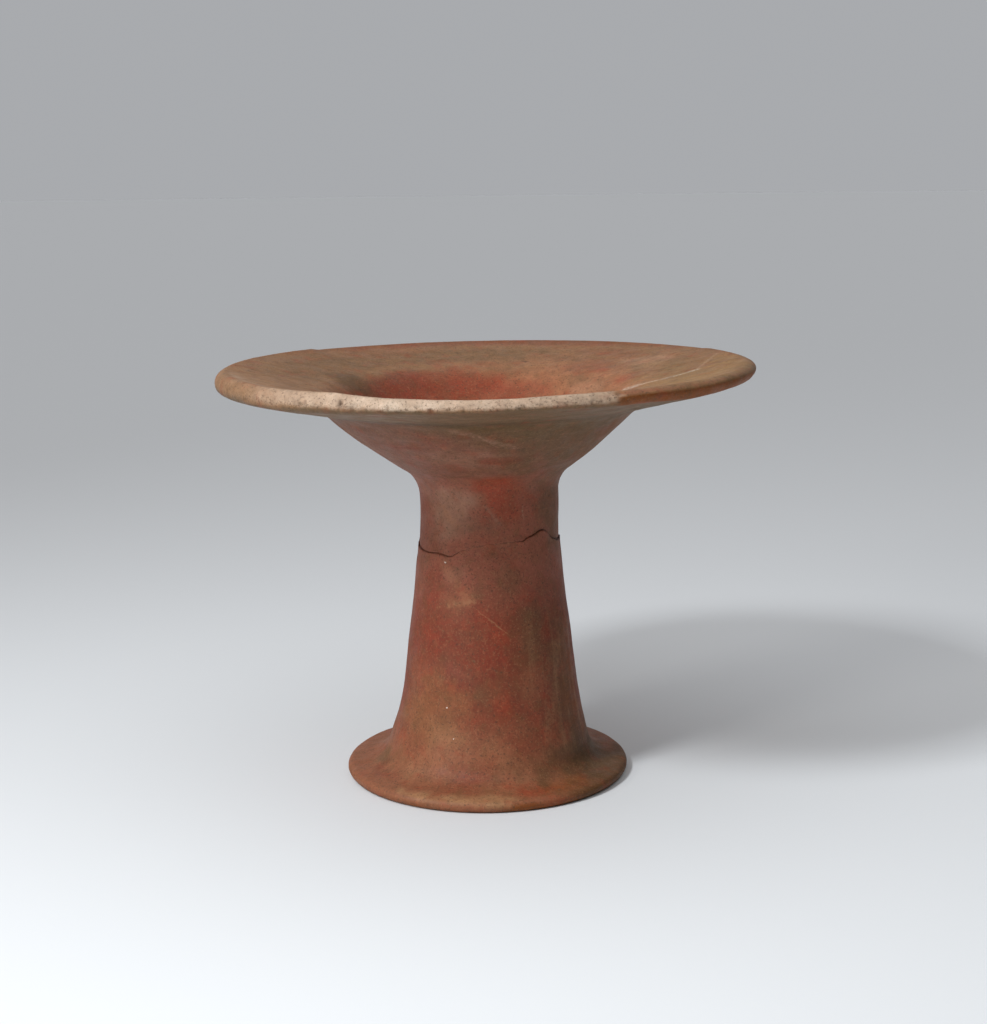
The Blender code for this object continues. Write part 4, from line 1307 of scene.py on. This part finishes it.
        fleck = nodes.step(nodes.noise(place, 205.0, 3.0, 0.55), 0.54, 0.66)
        fleck = nodes.maths("MULTIPLY", fleck, nodes.maths("SUBTRACT", 1.0, rubbed))
        colour = nodes.blend(nodes.maths("MULTIPLY", fleck, 0.22), colour, Pigment.ORANGE_CLAY.value)
        smut = nodes.step(nodes.noise(place, 150.0, 4.0, 0.6), 0.52, 0.68)
        smut = nodes.maths("MULTIPLY", smut, nodes.maths("SUBTRACT", 1.0, rubbed))
        colour = nodes.blend(nodes.maths("MULTIPLY", smut, 0.34), colour, Pigment.DARK_BROWN.value)

        wipe = nodes.noise(nodes.stored("turned_place", "Vector"), 430.0, 5.0, 0.65)
        wiped = nodes.stored("wiped", "Fac")
        film = nodes.maths("MULTIPLY", nodes.step(wipe, 0.50, 0.72), nodes.maths("MULTIPLY", wiped, 0.17))
        colour = nodes.blend(film, colour, Pigment.PALE_FILM.value)
        dark = nodes.maths("MULTIPLY", nodes.step(wipe, 0.46, 0.28), nodes.maths("MULTIPLY", wiped, 0.20))
        colour = nodes.blend(dark, colour, Pigment.DARK_BROWN.value)

        drawn = nodes.noise(nodes.stored("drawn_place", "Vector"), 180.0, 3.0, 0.55)
        streak = nodes.maths("MULTIPLY", nodes.step(drawn, 0.50, 0.68), nodes.stored("streaked", "Fac"))
        colour = nodes.blend(nodes.maths("MULTIPLY", streak, 0.24), colour, Pigment.CREAM_CLAY.value)

        value = nodes.step(nodes.noise(place, 300.0, 6.0, 0.75), 0.30, 0.70, 0.86, 1.16)
        shade = nodes.tree.nodes.new("ShaderNodeCombineColor")
        for socket in shade.inputs[:3]:
            nodes.wire(socket, value)
        colour = nodes.blend(1.0, colour, shade.outputs[0], "MULTIPLY")
        speckle = nodes.noise(place, 760.0, 4.0, 0.7)
        colour = nodes.blend(nodes.step(speckle, 0.55, 0.65, 0.0, 0.62), colour, Pigment.DARK_DIRT.value)
        dust = nodes.noise(place, 900.0, 3.0, 0.6)
        colour = nodes.blend(nodes.step(dust, 0.52, 0.70, 0.0, 0.22), colour, Pigment.CREAM_CLAY.value)
        colour = self.scored(nodes, colour)
        nodes.wire(shader.inputs["Base Color"], colour)

        rough = nodes.step(nodes.noise(place, 120.0, 4.0), 0.30, 0.70, 0.50, 0.66)
        rough = nodes.maths("ADD", rough, nodes.maths("MULTIPLY", rubbed, 0.20), clamp=True)
        nodes.wire(shader.inputs["Roughness"], rough)
        shader.inputs["Specular IOR Level"].default_value = 0.25
        height = nodes.maths("ADD", speckle, nodes.maths("MULTIPLY", nodes.noise(place, 420.0, 4.0, 0.6), 1.6))
        height = nodes.maths("ADD", height, nodes.maths("MULTIPLY", nodes.maths("MULTIPLY", wipe, wiped), 1.2))
        bump = nodes.tree.nodes.new("ShaderNodeBump")
        bump.inputs["Strength"].default_value = 0.55
        bump.inputs["Distance"].default_value = 0.00022
        nodes.wire(bump.inputs["Height"], height)
        nodes.wire(shader.inputs["Normal"], bump.outputs[0])
        return material


def main() -> None:
    """Builds the dish and its studio."""
    logging.basicConfig(level=logging.INFO)
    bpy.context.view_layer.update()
    form = DishForm.from_box(*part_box(NODE))
    surface = ClaySurface(form)
    worn = HandWork()
    worn.press_into(surface)
    mesh = surface.mesh("slipped_dish")
    AgedSkin().spread_over(surface, mesh, worn)
    mesh.materials.append(SlippedClay().material())
    dish = bpy.data.objects.new("slipped_dish", mesh)
    bpy.context.scene.collection.objects.link(dish)
    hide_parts(NODE)
    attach(dish, "root")
    LOG.info("slipped_dish: %d points, %d faces", len(mesh.vertices), len(mesh.polygons))
    Studio().build()


if __name__ == "__main__":
    main()
